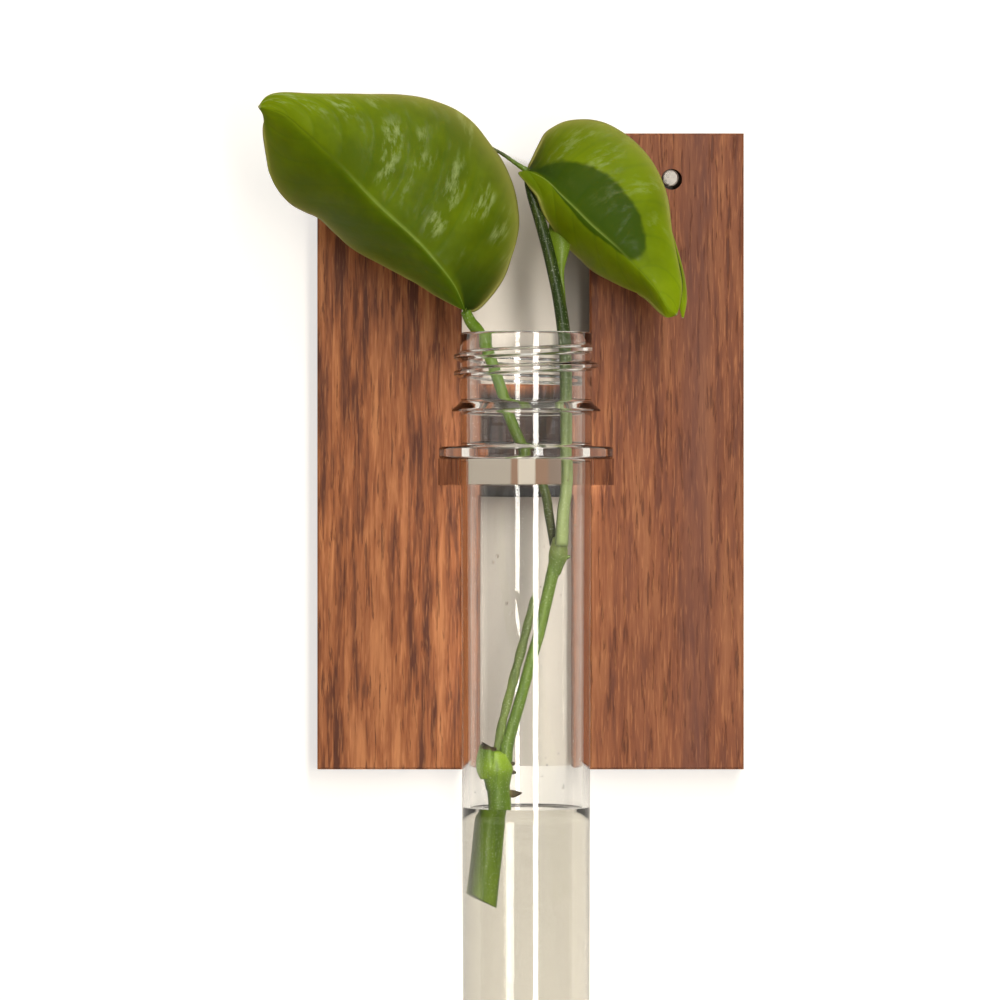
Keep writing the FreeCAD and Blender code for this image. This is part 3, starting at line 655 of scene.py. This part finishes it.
def clear_plastic(name, index, tint, least, most, depth):
    """Clear moulded plastic with handling marks and a slow ripple in its surface."""
    material, g = finish(name, Transmission_Weight=1.0, IOR=index)
    at = g.place()
    smear = g.effect("Smear", at, Least=least, Most=most)
    flow = g.effect("Fibre", at, Fineness=160.0, Squeeze=0.05)["Streak"]
    height = g.plus(smear["Ripple"], g.times(flow, 0.4))
    g.feed(Base_Color=g.mix(g.spread(flow, 0.3, 0.7), tint, (1.0, 1.0, 0.995, 1.0)),
           Roughness=smear["Roughness"], Normal=g.bump(height, depth, 0.5))
    return material


def sawn_plastic():
    """The shelf's clear plate: polished faces above and below, sawn faces slightly frosted."""
    material, g = finish("Clear_Shelf", Transmission_Weight=1.0, IOR=1.02)
    at = g.place()
    smear = g.effect("Smear", at, Least=0.02, Most=0.06)
    facing = g.add("ShaderNodeTexCoord").outputs["Normal"]
    sawn = g.spread(g.math("ABSOLUTE", g.axes(facing)[2]), 0.9, 0.3)
    saw = g.effect("Fibre", at, Fineness=900.0, Squeeze=0.03)
    g.feed(Base_Color=g.mix(sawn, (0.98, 0.99, 0.985, 1.0), (0.96, 0.95, 0.93, 1.0)),
           Roughness=g.plus(smear["Roughness"], g.times(sawn, 0.03)),
           Normal=g.bump(g.times(sawn, saw["Streak"]), 0.000005, 0.3))
    return material


def painted_nose_reflections():
    """The shelf's flat nose, with painted reflections of the bright room, the plaque and the tube
    in upright bands of pale grey, brown and cream."""
    material, g = finish("Shelf_Nose", Specular_IOR_Level=0.4, Alpha=0.94)
    at = g.place()
    saw = g.effect("Fibre", at, Fineness=900.0, Squeeze=0.03)
    across = g.plus(g.less(g.axes(at)[0], AXIS[0] * MM), g.wander(saw["Thread"], 0.0006))
    cream = g.times(g.spread(across, -0.0018, -0.0014), g.spread(across, 0.0018, 0.0014))
    colour = g.layers(
        paint(176, 166, 152), (g.spread(across, -0.0031, -0.0027, 0.0, 0.75), paint(142, 98, 66)),
        (cream, paint(214, 204, 188)),
        (g.spread(across, 0.0036, 0.0046, 0.0, 0.6), paint(128, 120, 110)))
    g.feed(Base_Color=colour, Roughness=g.plus(0.22, g.times(saw["Streak"], 0.2)),
           Normal=g.bump(saw["Streak"], 0.000005, 0.3))
    return material


def still_water(colours):
    """Standing water with a slight tint and fine floating specks."""
    material, g = finish("Water", Transmission_Weight=1.0, IOR=1.333)
    specks = g.effect("Mottle", g.place(), Size=260.0)
    g.feed(Base_Color=g.mix(g.times(specks["Speck"], 0.5), colours.water_tint,
                            (0.56, 0.55, 0.47, 1.0)),
           Roughness=g.times(specks["Patch"], 0.012),
           Normal=g.bump(specks["Patch"], 0.00002, 0.3))
    return material


def leaf_finish(name, colours, yellow, streaks, veins, painted_leaf_shadow, lower):
    """A waxy leaf: mottled green, yellower to the tip, a pale rib and margin, painted shade in the
    grooves along the side veins, painted glare in pale brushed streaks between them, a painted
    shadow of the other leaf above the rib, painted shade on the lower half and at the base, and
    a duller underside."""
    material, g = finish(name, Specular_IOR_Level=0.06, Coat_Roughness=0.20, Coat_IOR=1.45,
                         Subsurface_Weight=0.06)
    at = g.place()
    u, v = g.axes(g.add("ShaderNodeUVMap").outputs[0])[:2]
    patch = g.effect("Mottle", at, Size=110.0)["Patch"]
    young = g.plus(g.spread(u, 0.55, 1.0, 0.0, 0.55), yellow)
    young = g.plus(young, g.wander(patch, 1.1), clamp=True)
    side = g.apart(g.times(v, 2.0), 1.0)
    course = g.less(u, g.times(g.math("POWER", side, 1.3), 0.24))
    wave = g.math("ABSOLUTE", g.math("SINE", g.times(course, math.pi * veins)))
    brushed = g.noise(g.vector(g.times(course, 40.0), g.times(side, 6.5)), 1.0, 4.0, 0.6)
    # Painted shadow of the other leaf: an oval on the upper half with a ragged edge
    away = g.vector(g.times(g.less(u, 0.38), 3.2), g.times(g.less(v, 0.60), 5.6))
    away = g.add("ShaderNodeVectorMath", {0: away}, operation="LENGTH").outputs["Value"]
    dark = g.times(g.spread(g.plus(away, g.wander(patch, 0.7)), 1.08, 0.90), painted_leaf_shadow)
    # Painted glare: pale streaks between the side veins where the waxy surface shines
    pale = g.times(g.spread(wave, 0.35, 0.95), g.spread(brushed, 0.44, 0.70))
    pale = g.times(pale, g.spread(g.noise(at, 95.0, 1.0, 0.5), 0.42, 0.60))
    pale = g.times(pale, g.spread(v, 0.53, 0.62, 0.0, streaks))
    rib = g.mark("rib")
    colour = g.layers(
        colours.leaf_green, (young, colours.leaf_young),
        # Painted shade in the grooves along the side veins
        (g.spread(wave, 0.30, 0.0, 0.0, 0.16), paint(58, 92, 14)),
        (dark, paint(34, 64, 0)),
        (g.times(pale, g.less(1.0, dark)), paint(158, 174, 104)),
        # Painted shade over the lower half of the leaf
        (g.spread(v, 0.50, 0.44, 0.0, lower), paint(44, 76, 0)),
        (g.times(rib, g.spread(u, 0.75, 0.40, 0.0, 0.62)), paint(136, 158, 66)),
        (g.times(rib, g.spread(u, 0.50, 0.80, 0.0, 0.5)), paint(58, 78, 8)),
        # Painted shade at the base, where the upper half curls under
        (g.times(g.mark("sinus_shade"), 0.90), paint(26, 44, 6)),
        (g.times(g.mark("margin"), 0.60), paint(168, 160, 84)),
        (g.spread(u, 0.985, 1.0, 0.0, 0.9), paint(170, 160, 120)),
        (g.times(g.behind(), 0.5), paint(112, 138, 62)))
    height = g.plus(g.times(g.noise(at, 900.0, 2.0, 0.5), 0.35), g.times(brushed, 0.65))
    g.feed(Base_Color=colour, Roughness=g.plus(0.40, g.times(brushed, 0.22)),
           Coat_Weight=g.spread(brushed, 0.45, 0.65, 0.0, 0.09),
           Normal=g.bump(height, 0.00012, 0.55))
    return material


def stem_finish(name, top, bottom, speck=paint(214, 220, 190), gloss=0.30, turn=0.0):
    """Green stem with specks and streaks along it. Its colour changes from turn down."""
    material, g = finish(name, Specular_IOR_Level=0.25, Coat_Roughness=0.18)
    at = g.place()
    streak = g.effect("Fibre", at, Fineness=700.0, Squeeze=0.05)["Streak"]
    mottle = g.effect("Mottle", at, Size=420.0)
    colour = g.layers(
        top, (g.spread(g.mark("along"), turn, 1.0), bottom),
        (g.spread(streak, 0.45, 0.70, 0.0, 0.24), paint(130, 150, 56)),
        (g.spread(streak, 0.50, 0.32, 0.0, 0.35), paint(52, 74, 22)),
        (g.times(mottle["Speck"], 0.35), speck))
    g.feed(Base_Color=colour, Roughness=g.plus(gloss, g.times(mottle["Patch"], 0.20)),
           Coat_Weight=g.spread(mottle["Patch"], 0.3, 0.7, 0.0, 0.12),
           Normal=g.bump(streak, 0.00010, 0.6))
    return material


# Operators


class VASE_OT_plaque(bpy.types.Operator):
    """Finish the walnut plaque, the two nails and the clear shelf"""
    bl_idname = "vase.plaque"
    bl_label = "Plaque, nails and shelf"

    def execute(self, context):
        wood, metal = walnut(context.scene.vase_colours), steel()
        for name, material in (("plaque_board", wood), ("nail_left", metal),
                               ("nail_right", metal), ("tube_shelf", sawn_plastic())):
            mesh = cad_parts[name].data
            mesh.materials.clear()
            mesh.materials.append(material)
        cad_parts["tube_shelf"].visible_shadow = False
        self.nose()
        return {"FINISHED"}

    def nose(self):
        """The skin with painted reflections on the shelf's flat nose: u and v run -1 to 1 over it,
        and it stands 0.06 (1 - u^8)(1 - v^8) proud."""
        u, v = np.linspace(-1, 1, 61)[:, None], np.linspace(-1, 1, 33)[None, :]
        left, right = AXIS[0] - 11.0, AXIS[0] + 6.6
        face, middle, tall = AXIS[1] - 16.24, SEAT - 2.5, 4.8
        rows = np.stack([(left + right) / 2 + (right - left - 0.2) / 2 * u + 0 * v,
                         face - 0.06 * (1 - u ** 8) * (1 - v ** 8),
                         middle + tall / 2 * v + 0 * u], axis=-1)
        piece = surface("shelf_nose", rows * MM, facing=(0, -1, 0))
        thicken(piece, 0.03 * MM)
        dress(piece, "plaque", "clear_acrylic", painted_nose_reflections())


class VASE_OT_tube(bpy.types.Operator):
    """Mould the clear tube with its thread, bead and support ring"""
    bl_idname = "vase.tube"
    bl_label = "Clear tube"

    def execute(self, context):
        bore = context.scene.vase_sizes.bore_radius / MM
        low = rounded((
            (BODY_END, END_CENTRE, 0), (BODY, 0.0, 0.5), (RING, 0.0, 0.55), (RING, 2.3, 0.6),
            (NECK, 2.3, 0.6), (NECK, 8.9, 0.5), (BEAD, 8.9, 0.18), (BEAD, 9.3, 0.18),
            (NECK, 10.8, 0.5), (NECK, 11.6, 0)))
        neck = np.column_stack([np.full(150, NECK), np.linspace(11.6, 23.2, 150)])
        mouth = rounded(((NECK, 23.2, 0), (NECK, LIP, 0.5), (bore + 0.5, LIP, 0.3),
                         (bore, BORE_TOP, 0.9), (BORE_END, END_CENTRE, 0)))
        taper = np.linspace((BODY_END, END_CENTRE), (BODY, -0.6), 24)[1:-1]
        profile = np.vstack([round_end(BODY_END), taper, low[1:], neck[1:], mouth[1:],
                             round_end(BORE_END)[::-1][1:]])

        def thread(rows, angle):
            """A ridge on the neck, smooth_step down from 0.3 to 0.95 either side of the helix
            z = foot + pitch * turns, faded over a tenth of a turn at each end."""
            added = np.zeros((len(rows), angle.shape[1]))
            on_neck = (np.abs(rows[:, :1] - NECK) < 0.01) & (rows[:, 1:] > 11)
            for turn in (0, 1):
                so_far = angle / (2 * math.pi) + turn
                fade = smooth_step(0, 0.10, so_far) * smooth_step(0, 0.10, 2 - so_far)
                away = np.abs(rows[:, 1:] - (THREAD_FOOT + THREAD_PITCH * so_far))
                added = np.maximum(added, (1 - smooth_step(0.30, 0.95, away)) * fade)
            return THREAD_RIDGE * added * on_neck

        piece = turned("tube_moulding", profile, 224, thread)
        piece.visible_shadow = False
        dress(piece, "tube", "clear_pet", clear_plastic(
            "Clear_Tube", 1.57, (0.985, 0.985, 0.975, 1.0), 0.0, 0.03, 0.00004), "clear_tube")
        return {"FINISHED"}


class VASE_OT_water(bpy.types.Operator):
    """Fill the tube with water and leave drops of condensation above it"""
    bl_idname = "vase.water"
    bl_label = "Water and droplets"

    def execute(self, context):
        sizes = context.scene.vase_sizes
        level, climb = sizes.water_level / MM, sizes.meniscus / MM
        skin = 0.05
        edge = bore_at(level, sizes) + skin
        radii = np.linspace(edge, 0, 60)[1:]
        top = np.column_stack([radii, level + climb * np.exp(-(edge - radii) / 0.75)])
        wall = np.linspace((BORE_END + skin, END_CENTRE), (edge, level + climb), 20)[1:]
        profile = np.vstack([round_end(BORE_END + skin), wall, top])
        piece = turned("tube_water", profile, 128)
        piece.visible_shadow = False
        dress(piece, "tube", "water", still_water(context.scene.vase_colours), "water")
        self.drops(sizes, level, clear_plastic(
            "Droplets", 1.16, paint(252, 253, 252), 0.0, 0.05, 0.000005))
        return {"FINISHED"}

    def drops(self, sizes, level, material):
        """Flat round lenses on the bore's wall. Each lens is some rings of corners about a
        middle: its height off the wall falls as 1 - s^2 from the middle to the rim, sunk 0.04
        into the wall."""
        rings, corners = 4, 10
        inside = rings * corners
        chance = np.random.default_rng(11)
        count = sizes.droplet_count
        angle = chance.uniform(0, 2 * math.pi, count)
        height = level + 2 - (level + 6) * chance.uniform(0, 1, count) ** 1.1
        radius = 0.08 + 0.30 * chance.uniform(0, 1, count) ** 4
        s = np.linspace(0.12, 1, rings)[None, :, None]
        turn = np.linspace(0, 2 * math.pi, corners, endpoint=False)[None, None, :]
        size = radius[:, None, None]
        wall = bore_at(height, sizes)[:, None, None]
        off = wall + 0.04 - 0.55 * size * (1 - s ** 2) + 0 * turn
        swing = angle[:, None, None] + size * s * np.cos(turn) / wall
        up = height[:, None, None] + size * s * np.sin(turn) * 1.15
        rows = np.stack([AXIS[0] + off * np.cos(swing), AXIS[1] + off * np.sin(swing),
                         SEAT + up], axis=-1) * MM
        middle = rows[:, :1].mean(axis=2, keepdims=True)
        back = rows[:, -1:].mean(axis=2, keepdims=True)
        points = np.concatenate([rows.reshape(count, -1, 3), middle[:, 0], back[:, 0]], axis=1)
        ring = np.arange(inside).reshape(rings, corners)
        ring = np.hstack([ring, ring[:, :1]])
        quads = np.stack([ring[:-1, :-1], ring[1:, :-1], ring[1:, 1:], ring[:-1, 1:]], -1)
        quads = quads.reshape(-1, 4)
        inner = np.column_stack([ring[0, :-1], ring[0, 1:], np.full(corners, inside)])
        outer = np.column_stack([ring[-1, 1:], ring[-1, :-1], np.full(corners, inside + 1)])
        offset = np.arange(count)[:, None, None] * (inside + 2)
        faces = [face for group in (quads, inner, outer)
                 for face in (group + offset).reshape(-1, group.shape[1]).tolist()]
        a, b, c = (points[0][quads[:, column]] for column in (0, 1, 2))
        if np.einsum("ij,ij->", a - back[0, 0, 0], np.cross(b - a, c - a)) < 0:
            faces = [face[::-1] for face in faces]
        mesh = bpy.data.meshes.new("tube_droplets")
        mesh.from_pydata(points.reshape(-1, 3).tolist(), [], faces)
        mesh.shade_smooth()
        dress(put("tube_droplets", mesh), "tube", "water", material)


class VASE_OT_stems(bpy.types.Operator):
    """Grow the petioles, the leaf stalk, the middle stem, the dark stem and the bottom stem"""
    bl_idname = "vase.stems"
    bl_label = "Stems"

    def execute(self, context):
        green = context.scene.vase_colours.stem_green
        # Painted shade: the left petiole darkens to brown-olive towards its foot, below the shelf
        left = stem_finish("Left_Petiole", paint(92, 122, 18), paint(62, 64, 30))
        right = stem_finish("Right_Petiole", paint(32, 48, 2), paint(134, 146, 94), turn=0.36)
        middle = stem_finish("Internode", paint(96, 118, 42), green)
        dark = stem_finish("Second_Stem", paint(88, 98, 50), paint(104, 120, 56))
        thick = stem_finish("Lower_Stem", paint(76, 102, 0), paint(90, 114, 0))
        grow("left_petiole", LEFT_PETIOLE, "stem_green", left, "petiole_left")
        grow("right_petiole", RIGHT_PETIOLE, "stem_green", right, "petiole_right", grooves=0.05)
        grow("middle_stem", INTERNODE, "stem_green", middle, "internode", grooves=0.05)
        grow("dark_stem", SECOND_STEM, "stem_dark", dark, "second_stem", lumps=0.08)
        grow("bottom_stem", LOWER_STEM, "stem_green", thick, "lower_stem", grooves=0.06,
             columns=48, slant=1.2)
        grow("leaf_stalk", STALK, "stem_green", left, count=50, lumps=0.05)
        return {"FINISHED"}


class VASE_OT_nodes(bpy.types.Operator):
    """Swell the two nodes, with the side spur, the cut stub, its scar and the root buds"""
    bl_idname = "vase.nodes"
    bl_label = "Nodes and buds"

    def execute(self, context):
        upper = stem_finish("Upper_Node", paint(122, 132, 72), paint(90, 110, 38))
        lower = stem_finish("Lower_Node", paint(122, 150, 24), paint(84, 110, 14))
        brown = stem_finish("Bud_Brown", paint(92, 74, 44), paint(52, 38, 22), paint(120, 100, 70),
                            gloss=0.5)
        grow("upper_joint", UPPER_NODE, "stem_green", upper, "upper_node", count=60, columns=40,
             grooves=0.04)
        grow("side_spur", SIDE_SPUR, "stem_green", upper, count=40)
        grow("lower_joint", LOWER_NODE, "node_green", lower, "lower_node", count=60, columns=48,
             grooves=0.05)
        grow("cut_stub", CUT_STUB, "node_green", lower, count=50, columns=40, grooves=0.10,
             slant=0.5)
        grow("cut_scar", CUT_SCAR, "bud_brown", brown, count=20, columns=40, lumps=0.10,
             slant=0.5)
        for number, route in enumerate(ROOT_BUDS, 1):
            node = ["root_buds"] if number == 1 else []
            grow(f"root_bud_{number}", route, "bud_brown", brown, *node, count=36, columns=20,
                 lumps=0.05)
        return {"FINISHED"}


class VASE_OT_leaves(bpy.types.Operator):
    """Unfold the two leaves, the torn tip and the sheath blade beside the right petiole"""
    bl_idname = "vase.leaves"
    bl_label = "Leaves and sheath"

    def execute(self, context):
        sizes, colours = context.scene.vase_sizes, context.scene.vase_colours
        relief = sizes.vein_relief / MM
        left = leaf("left_leaf", (-12.39, -26.78, -26.26), 135.5, 54.8, LEFT_UPPER, LEFT_RIB,
                    LEFT_LOWER, LEFT_DEPTHS, 9, relief, 0.7)
        right = leaf("right_leaf", (-0.77, -22.04, 0.61), -44.6, 40.6, RIGHT_UPPER, RIGHT_RIB,
                     RIGHT_LOWER, RIGHT_DEPTHS, 7, relief * 0.7, 0.5)
        waxy = leaf_finish("Leaf_Left", colours, 0.10, 0.75, 9, 0.0, 0.42)
        fresh = leaf_finish("Leaf_Right", colours, 0.50, 0.40, 7, 0.86, 0.12)
        tip = self.blade("torn_tip", TORN_TIP)
        sheath = self.blade("sheath_blade", SHEATH)
        for piece in (left, right, tip, sheath):
            thicken(piece, sizes.leaf_thickness)
        wing = stem_finish("Sheath_Green", paint(106, 130, 24), paint(92, 114, 30),
                           paint(200, 210, 150))
        dress(left, "cutting", "leaf_green", waxy, "leaf_left")
        dress(right, "cutting", "leaf_green", fresh, "leaf_right")
        dress(tip, "cutting", "leaf_green", fresh)
        dress(sheath, "cutting", "sheath_green", wing, "petiole_sheath")
        return {"FINISHED"}

    def blade(self, name, route):
        """A thin blade down a route of x, y, z and half width w: x + w v, with a shallow
        fold of 0.35 w (1 - v^2) towards the viewer."""
        line = spline(route, 60)
        v = np.linspace(-1, 1, 13)[None, :, None]
        wide = line[:, None, 3:]
        rows = np.concatenate([line[:, None, :1] + wide * v,
                               line[:, None, 1:2] - 0.35 * wide * (1 - v ** 2),
                               line[:, None, 2:3] + 0 * v], axis=-1)
        run, v = np.linspace(0, 1, 60)[:, None], v[..., 0]
        marks = {"along": run, "rib": 0.0, "sinus_shade": 0.0, "margin": np.abs(v) ** 6}
        uv = np.stack(np.broadcast_arrays(run, 0.5 + 0.5 * v), axis=-1)
        return surface(name, rows * MM, facing=(0, -1, 0), marks=marks, uv=uv)


class VASE_OT_stage(bpy.types.Operator):
    """Set up the wall, the floor, the lights, the room and the camera"""
    bl_idname = "vase.stage"
    bl_label = "Studio"

    def execute(self, context):
        stage = context.scene.vase_stage
        side, front, top, low, back = 1.6, -2.2, 1.2, -stage.floor_drop, WALL_FACE
        wall = self.sheet("wall", ((-side, back, low), (side, back, low), (side, back, top),
                                   (-side, back, top)), self.backdrop("Wall"))
        floor = self.sheet("floor", ((-side, front, low), (side, front, low), (side, back, low),
                                     (-side, back, low)), self.backdrop("Floor"))
        # Left, right and lower edge of the paint behind the slots and behind each hanging
        # hole, and the height of its left and its right upper corner
        holes = ((-0.0145, 0.0125, -0.1136, 0.0086, 0.0005),
                 (-0.0292, -0.0246, -0.0023, 0.0023, 0.0023),
                 (0.0246, 0.0292, -0.0023, 0.0023, 0.0023))
        slots = [(x, SLOT_FACE, z) for left, right, foot, high, sloped in holes
                 for x, z in ((left, foot), (right, foot), (right, sloped), (left, high))]
        patch = self.sheet("slot_wall", slots, self.painted())
        self.lights(stage)
        self.room(context, stage)
        self.camera(context, stage)
        return {"FINISHED"}

    def sheet(self, name, corners, material):
        """Flat rectangles that face the vase, one for each four corners."""
        mesh = bpy.data.meshes.new(name)
        mesh.from_pydata(corners, [], np.arange(len(corners)).reshape(-1, 4).tolist())
        mesh.materials.append(material)
        return put(name, mesh)

    def backdrop(self, name):
        """Matt paint that is white to the camera, glows half as much in reflections, keeps
        shadows, shows its own warm grey through the tube, and isn't there from behind."""
        material, g = finish(name, Roughness=0.9, Specular_IOR_Level=0.1)
        tone = g.times(g.noise(g.place(), 30.0, 3.0, 0.6), 0.06)
        g.feed(Base_Color=g.mix(tone, paint(203, 197, 186), paint(190, 183, 170)))
        path = g.add("ShaderNodeLightPath").outputs
        seen = g.math("MAXIMUM", path["Is Camera Ray"], g.times(path["Is Glossy Ray"], 0.5))
        glow = g.add("ShaderNodeEmission", {"Color": (1, 1, 1, 1),
                                            "Strength": g.times(seen, 0.62)})
        both = g.add("ShaderNodeAddShader", {0: g.end.outputs[0], 1: glow.outputs[0]})
        gone = g.add("ShaderNodeBsdfTransparent")
        final = g.add("ShaderNodeMixShader", {0: g.behind(), 1: both.outputs[0],
                                              2: gone.outputs[0]})
        g.tree.links.new(final.outputs[0], g.tree.nodes["Material Output"].inputs["Surface"])
        return material

    def painted(self):
        """Grey matt wall paint, seen only through the plaque's slots. It is darker at the left
        of the lower slot and the right of the upper one, for the shade of the clear tube and
        the plaque's edge that the renderer leaves out. It fades at its sloped top, and isn't
        there from behind."""
        material, g = finish("Slot_Wall", Roughness=0.9, Specular_IOR_Level=0.1)
        at = g.place()
        x, _, z = g.axes(at)
        above = g.spread(z, -0.044, -0.040)
        left = g.times(g.spread(x, 0.0045, -0.0010, 0.05, 0.45), g.less(1.0, above))
        right = g.times(g.spread(x, 0.0050, 0.0066, 0.0, 0.62), above)
        colour = g.mix(g.noise(at, 60.0, 4.0, 0.6), paint(226, 218, 205), paint(236, 229, 217))
        slope = g.spread(g.plus(z, g.times(x, 0.30)), 0.0042, 0.0012)
        kept = g.math("MAXIMUM", slope, g.spread(g.math("ABSOLUTE", x), 0.018, 0.020))
        g.feed(Base_Color=g.mix(g.plus(left, right), colour, paint(60, 57, 50)),
               Alpha=g.times(g.less(1.0, g.behind()), kept))
        return material

    def lights(self, stage):
        """A tall key light at the right, a soft light above and a weak fill at the left."""
        for name, turn, rise, far, wide, tall, power, warm in (
                ("key", 17.0, 22.0, 1.70, 0.28, 2.30, stage.key_power, (1.0, 0.97, 0.92)),
                ("top", 10.0, 68.0, 1.60, 1.20, 1.20, 2.5, (1.0, 0.98, 0.95)),
                ("fill", -50.0, 15.0, 1.90, 1.00, 1.00, 2.0, (0.96, 0.98, 1.0))):
            lamp = bpy.data.lights.new(name, "AREA")
            lamp.shape = "RECTANGLE"
            lamp.size, lamp.size_y = wide, tall
            lamp.energy, lamp.color = power, warm
            holder = put(name, lamp)
            across, up = math.radians(turn), math.radians(rise)
            holder.location = (far * math.sin(across) * math.cos(up),
                               -far * math.cos(across) * math.cos(up),
                               far * math.sin(up) - 0.06)
            holder.rotation_euler = (math.pi / 2 - up, 0.0, across)

    def room(self, context, stage):
        """A pale room that lights the vase softly and is white to the camera."""
        world = bpy.data.worlds.new("Room")
        context.scene.world = world
        world.use_nodes = True
        g = Graph(world.node_tree, world.node_tree.nodes["Background"])
        seen = g.add("ShaderNodeLightPath").outputs["Is Camera Ray"]
        g.feed(Color=g.mix(seen, (0.93, 0.93, 0.92, 1), (1, 1, 1, 1)),
               Strength=g.spread(seen, 0.0, 1.0, stage.room_light, 1.0))

    def camera(self, context, stage):
        """The photograph's view: level, straight at the wall."""
        lens = bpy.data.cameras.new("camera")
        lens.lens, lens.sensor_width, lens.clip_end = stage.lens, 36.0, 20.0
        holder = put("camera", lens)
        holder.location = (-5.87 * MM, -stage.camera_distance, -61.9 * MM)
        holder.rotation_euler = (math.pi / 2, 0.0, 0.0)
        context.scene.camera = holder
        context.scene.view_settings.view_transform = "Standard"


class VASE_PT_panel(bpy.types.Panel):
    """Lists the vase's operators and sizes"""
    bl_idname = "VASE_PT_panel"
    bl_label = "Propagation vase"
    bl_space_type = "VIEW_3D"
    bl_region_type = "UI"
    bl_category = "Vase"

    def draw(self, context):
        column = self.layout.column(align=True)
        for operator in OPERATORS:
            column.operator(operator.bl_idname)
        for group in (context.scene.vase_sizes, context.scene.vase_colours,
                      context.scene.vase_stage):
            box = self.layout.box()
            for name in group.bl_rna.properties.keys():
                if name not in ("rna_type", "name"):
                    box.prop(group, name)


OPERATORS = (VASE_OT_plaque, VASE_OT_tube, VASE_OT_water, VASE_OT_stems, VASE_OT_nodes,
             VASE_OT_leaves, VASE_OT_stage)
GROUPS = (VaseSizes, VaseColours, StageSizes)


def register():
    for kind in GROUPS + OPERATORS + (VASE_PT_panel,):
        bpy.utils.register_class(kind)
    bpy.types.Scene.vase_sizes = bpy.props.PointerProperty(type=VaseSizes)
    bpy.types.Scene.vase_colours = bpy.props.PointerProperty(type=VaseColours)
    bpy.types.Scene.vase_stage = bpy.props.PointerProperty(type=StageSizes)


def unregister():
    del bpy.types.Scene.vase_sizes, bpy.types.Scene.vase_colours, bpy.types.Scene.vase_stage
    for kind in reversed(GROUPS + OPERATORS + (VASE_PT_panel,)):
        bpy.utils.unregister_class(kind)


def main():
    register()
    bpy.ops.vase.plaque()
    bpy.ops.vase.tube()
    bpy.ops.vase.water()
    bpy.ops.vase.stems()
    bpy.ops.vase.nodes()
    bpy.ops.vase.leaves()
    bpy.ops.vase.stage()


if __name__ == "__main__":
    main()
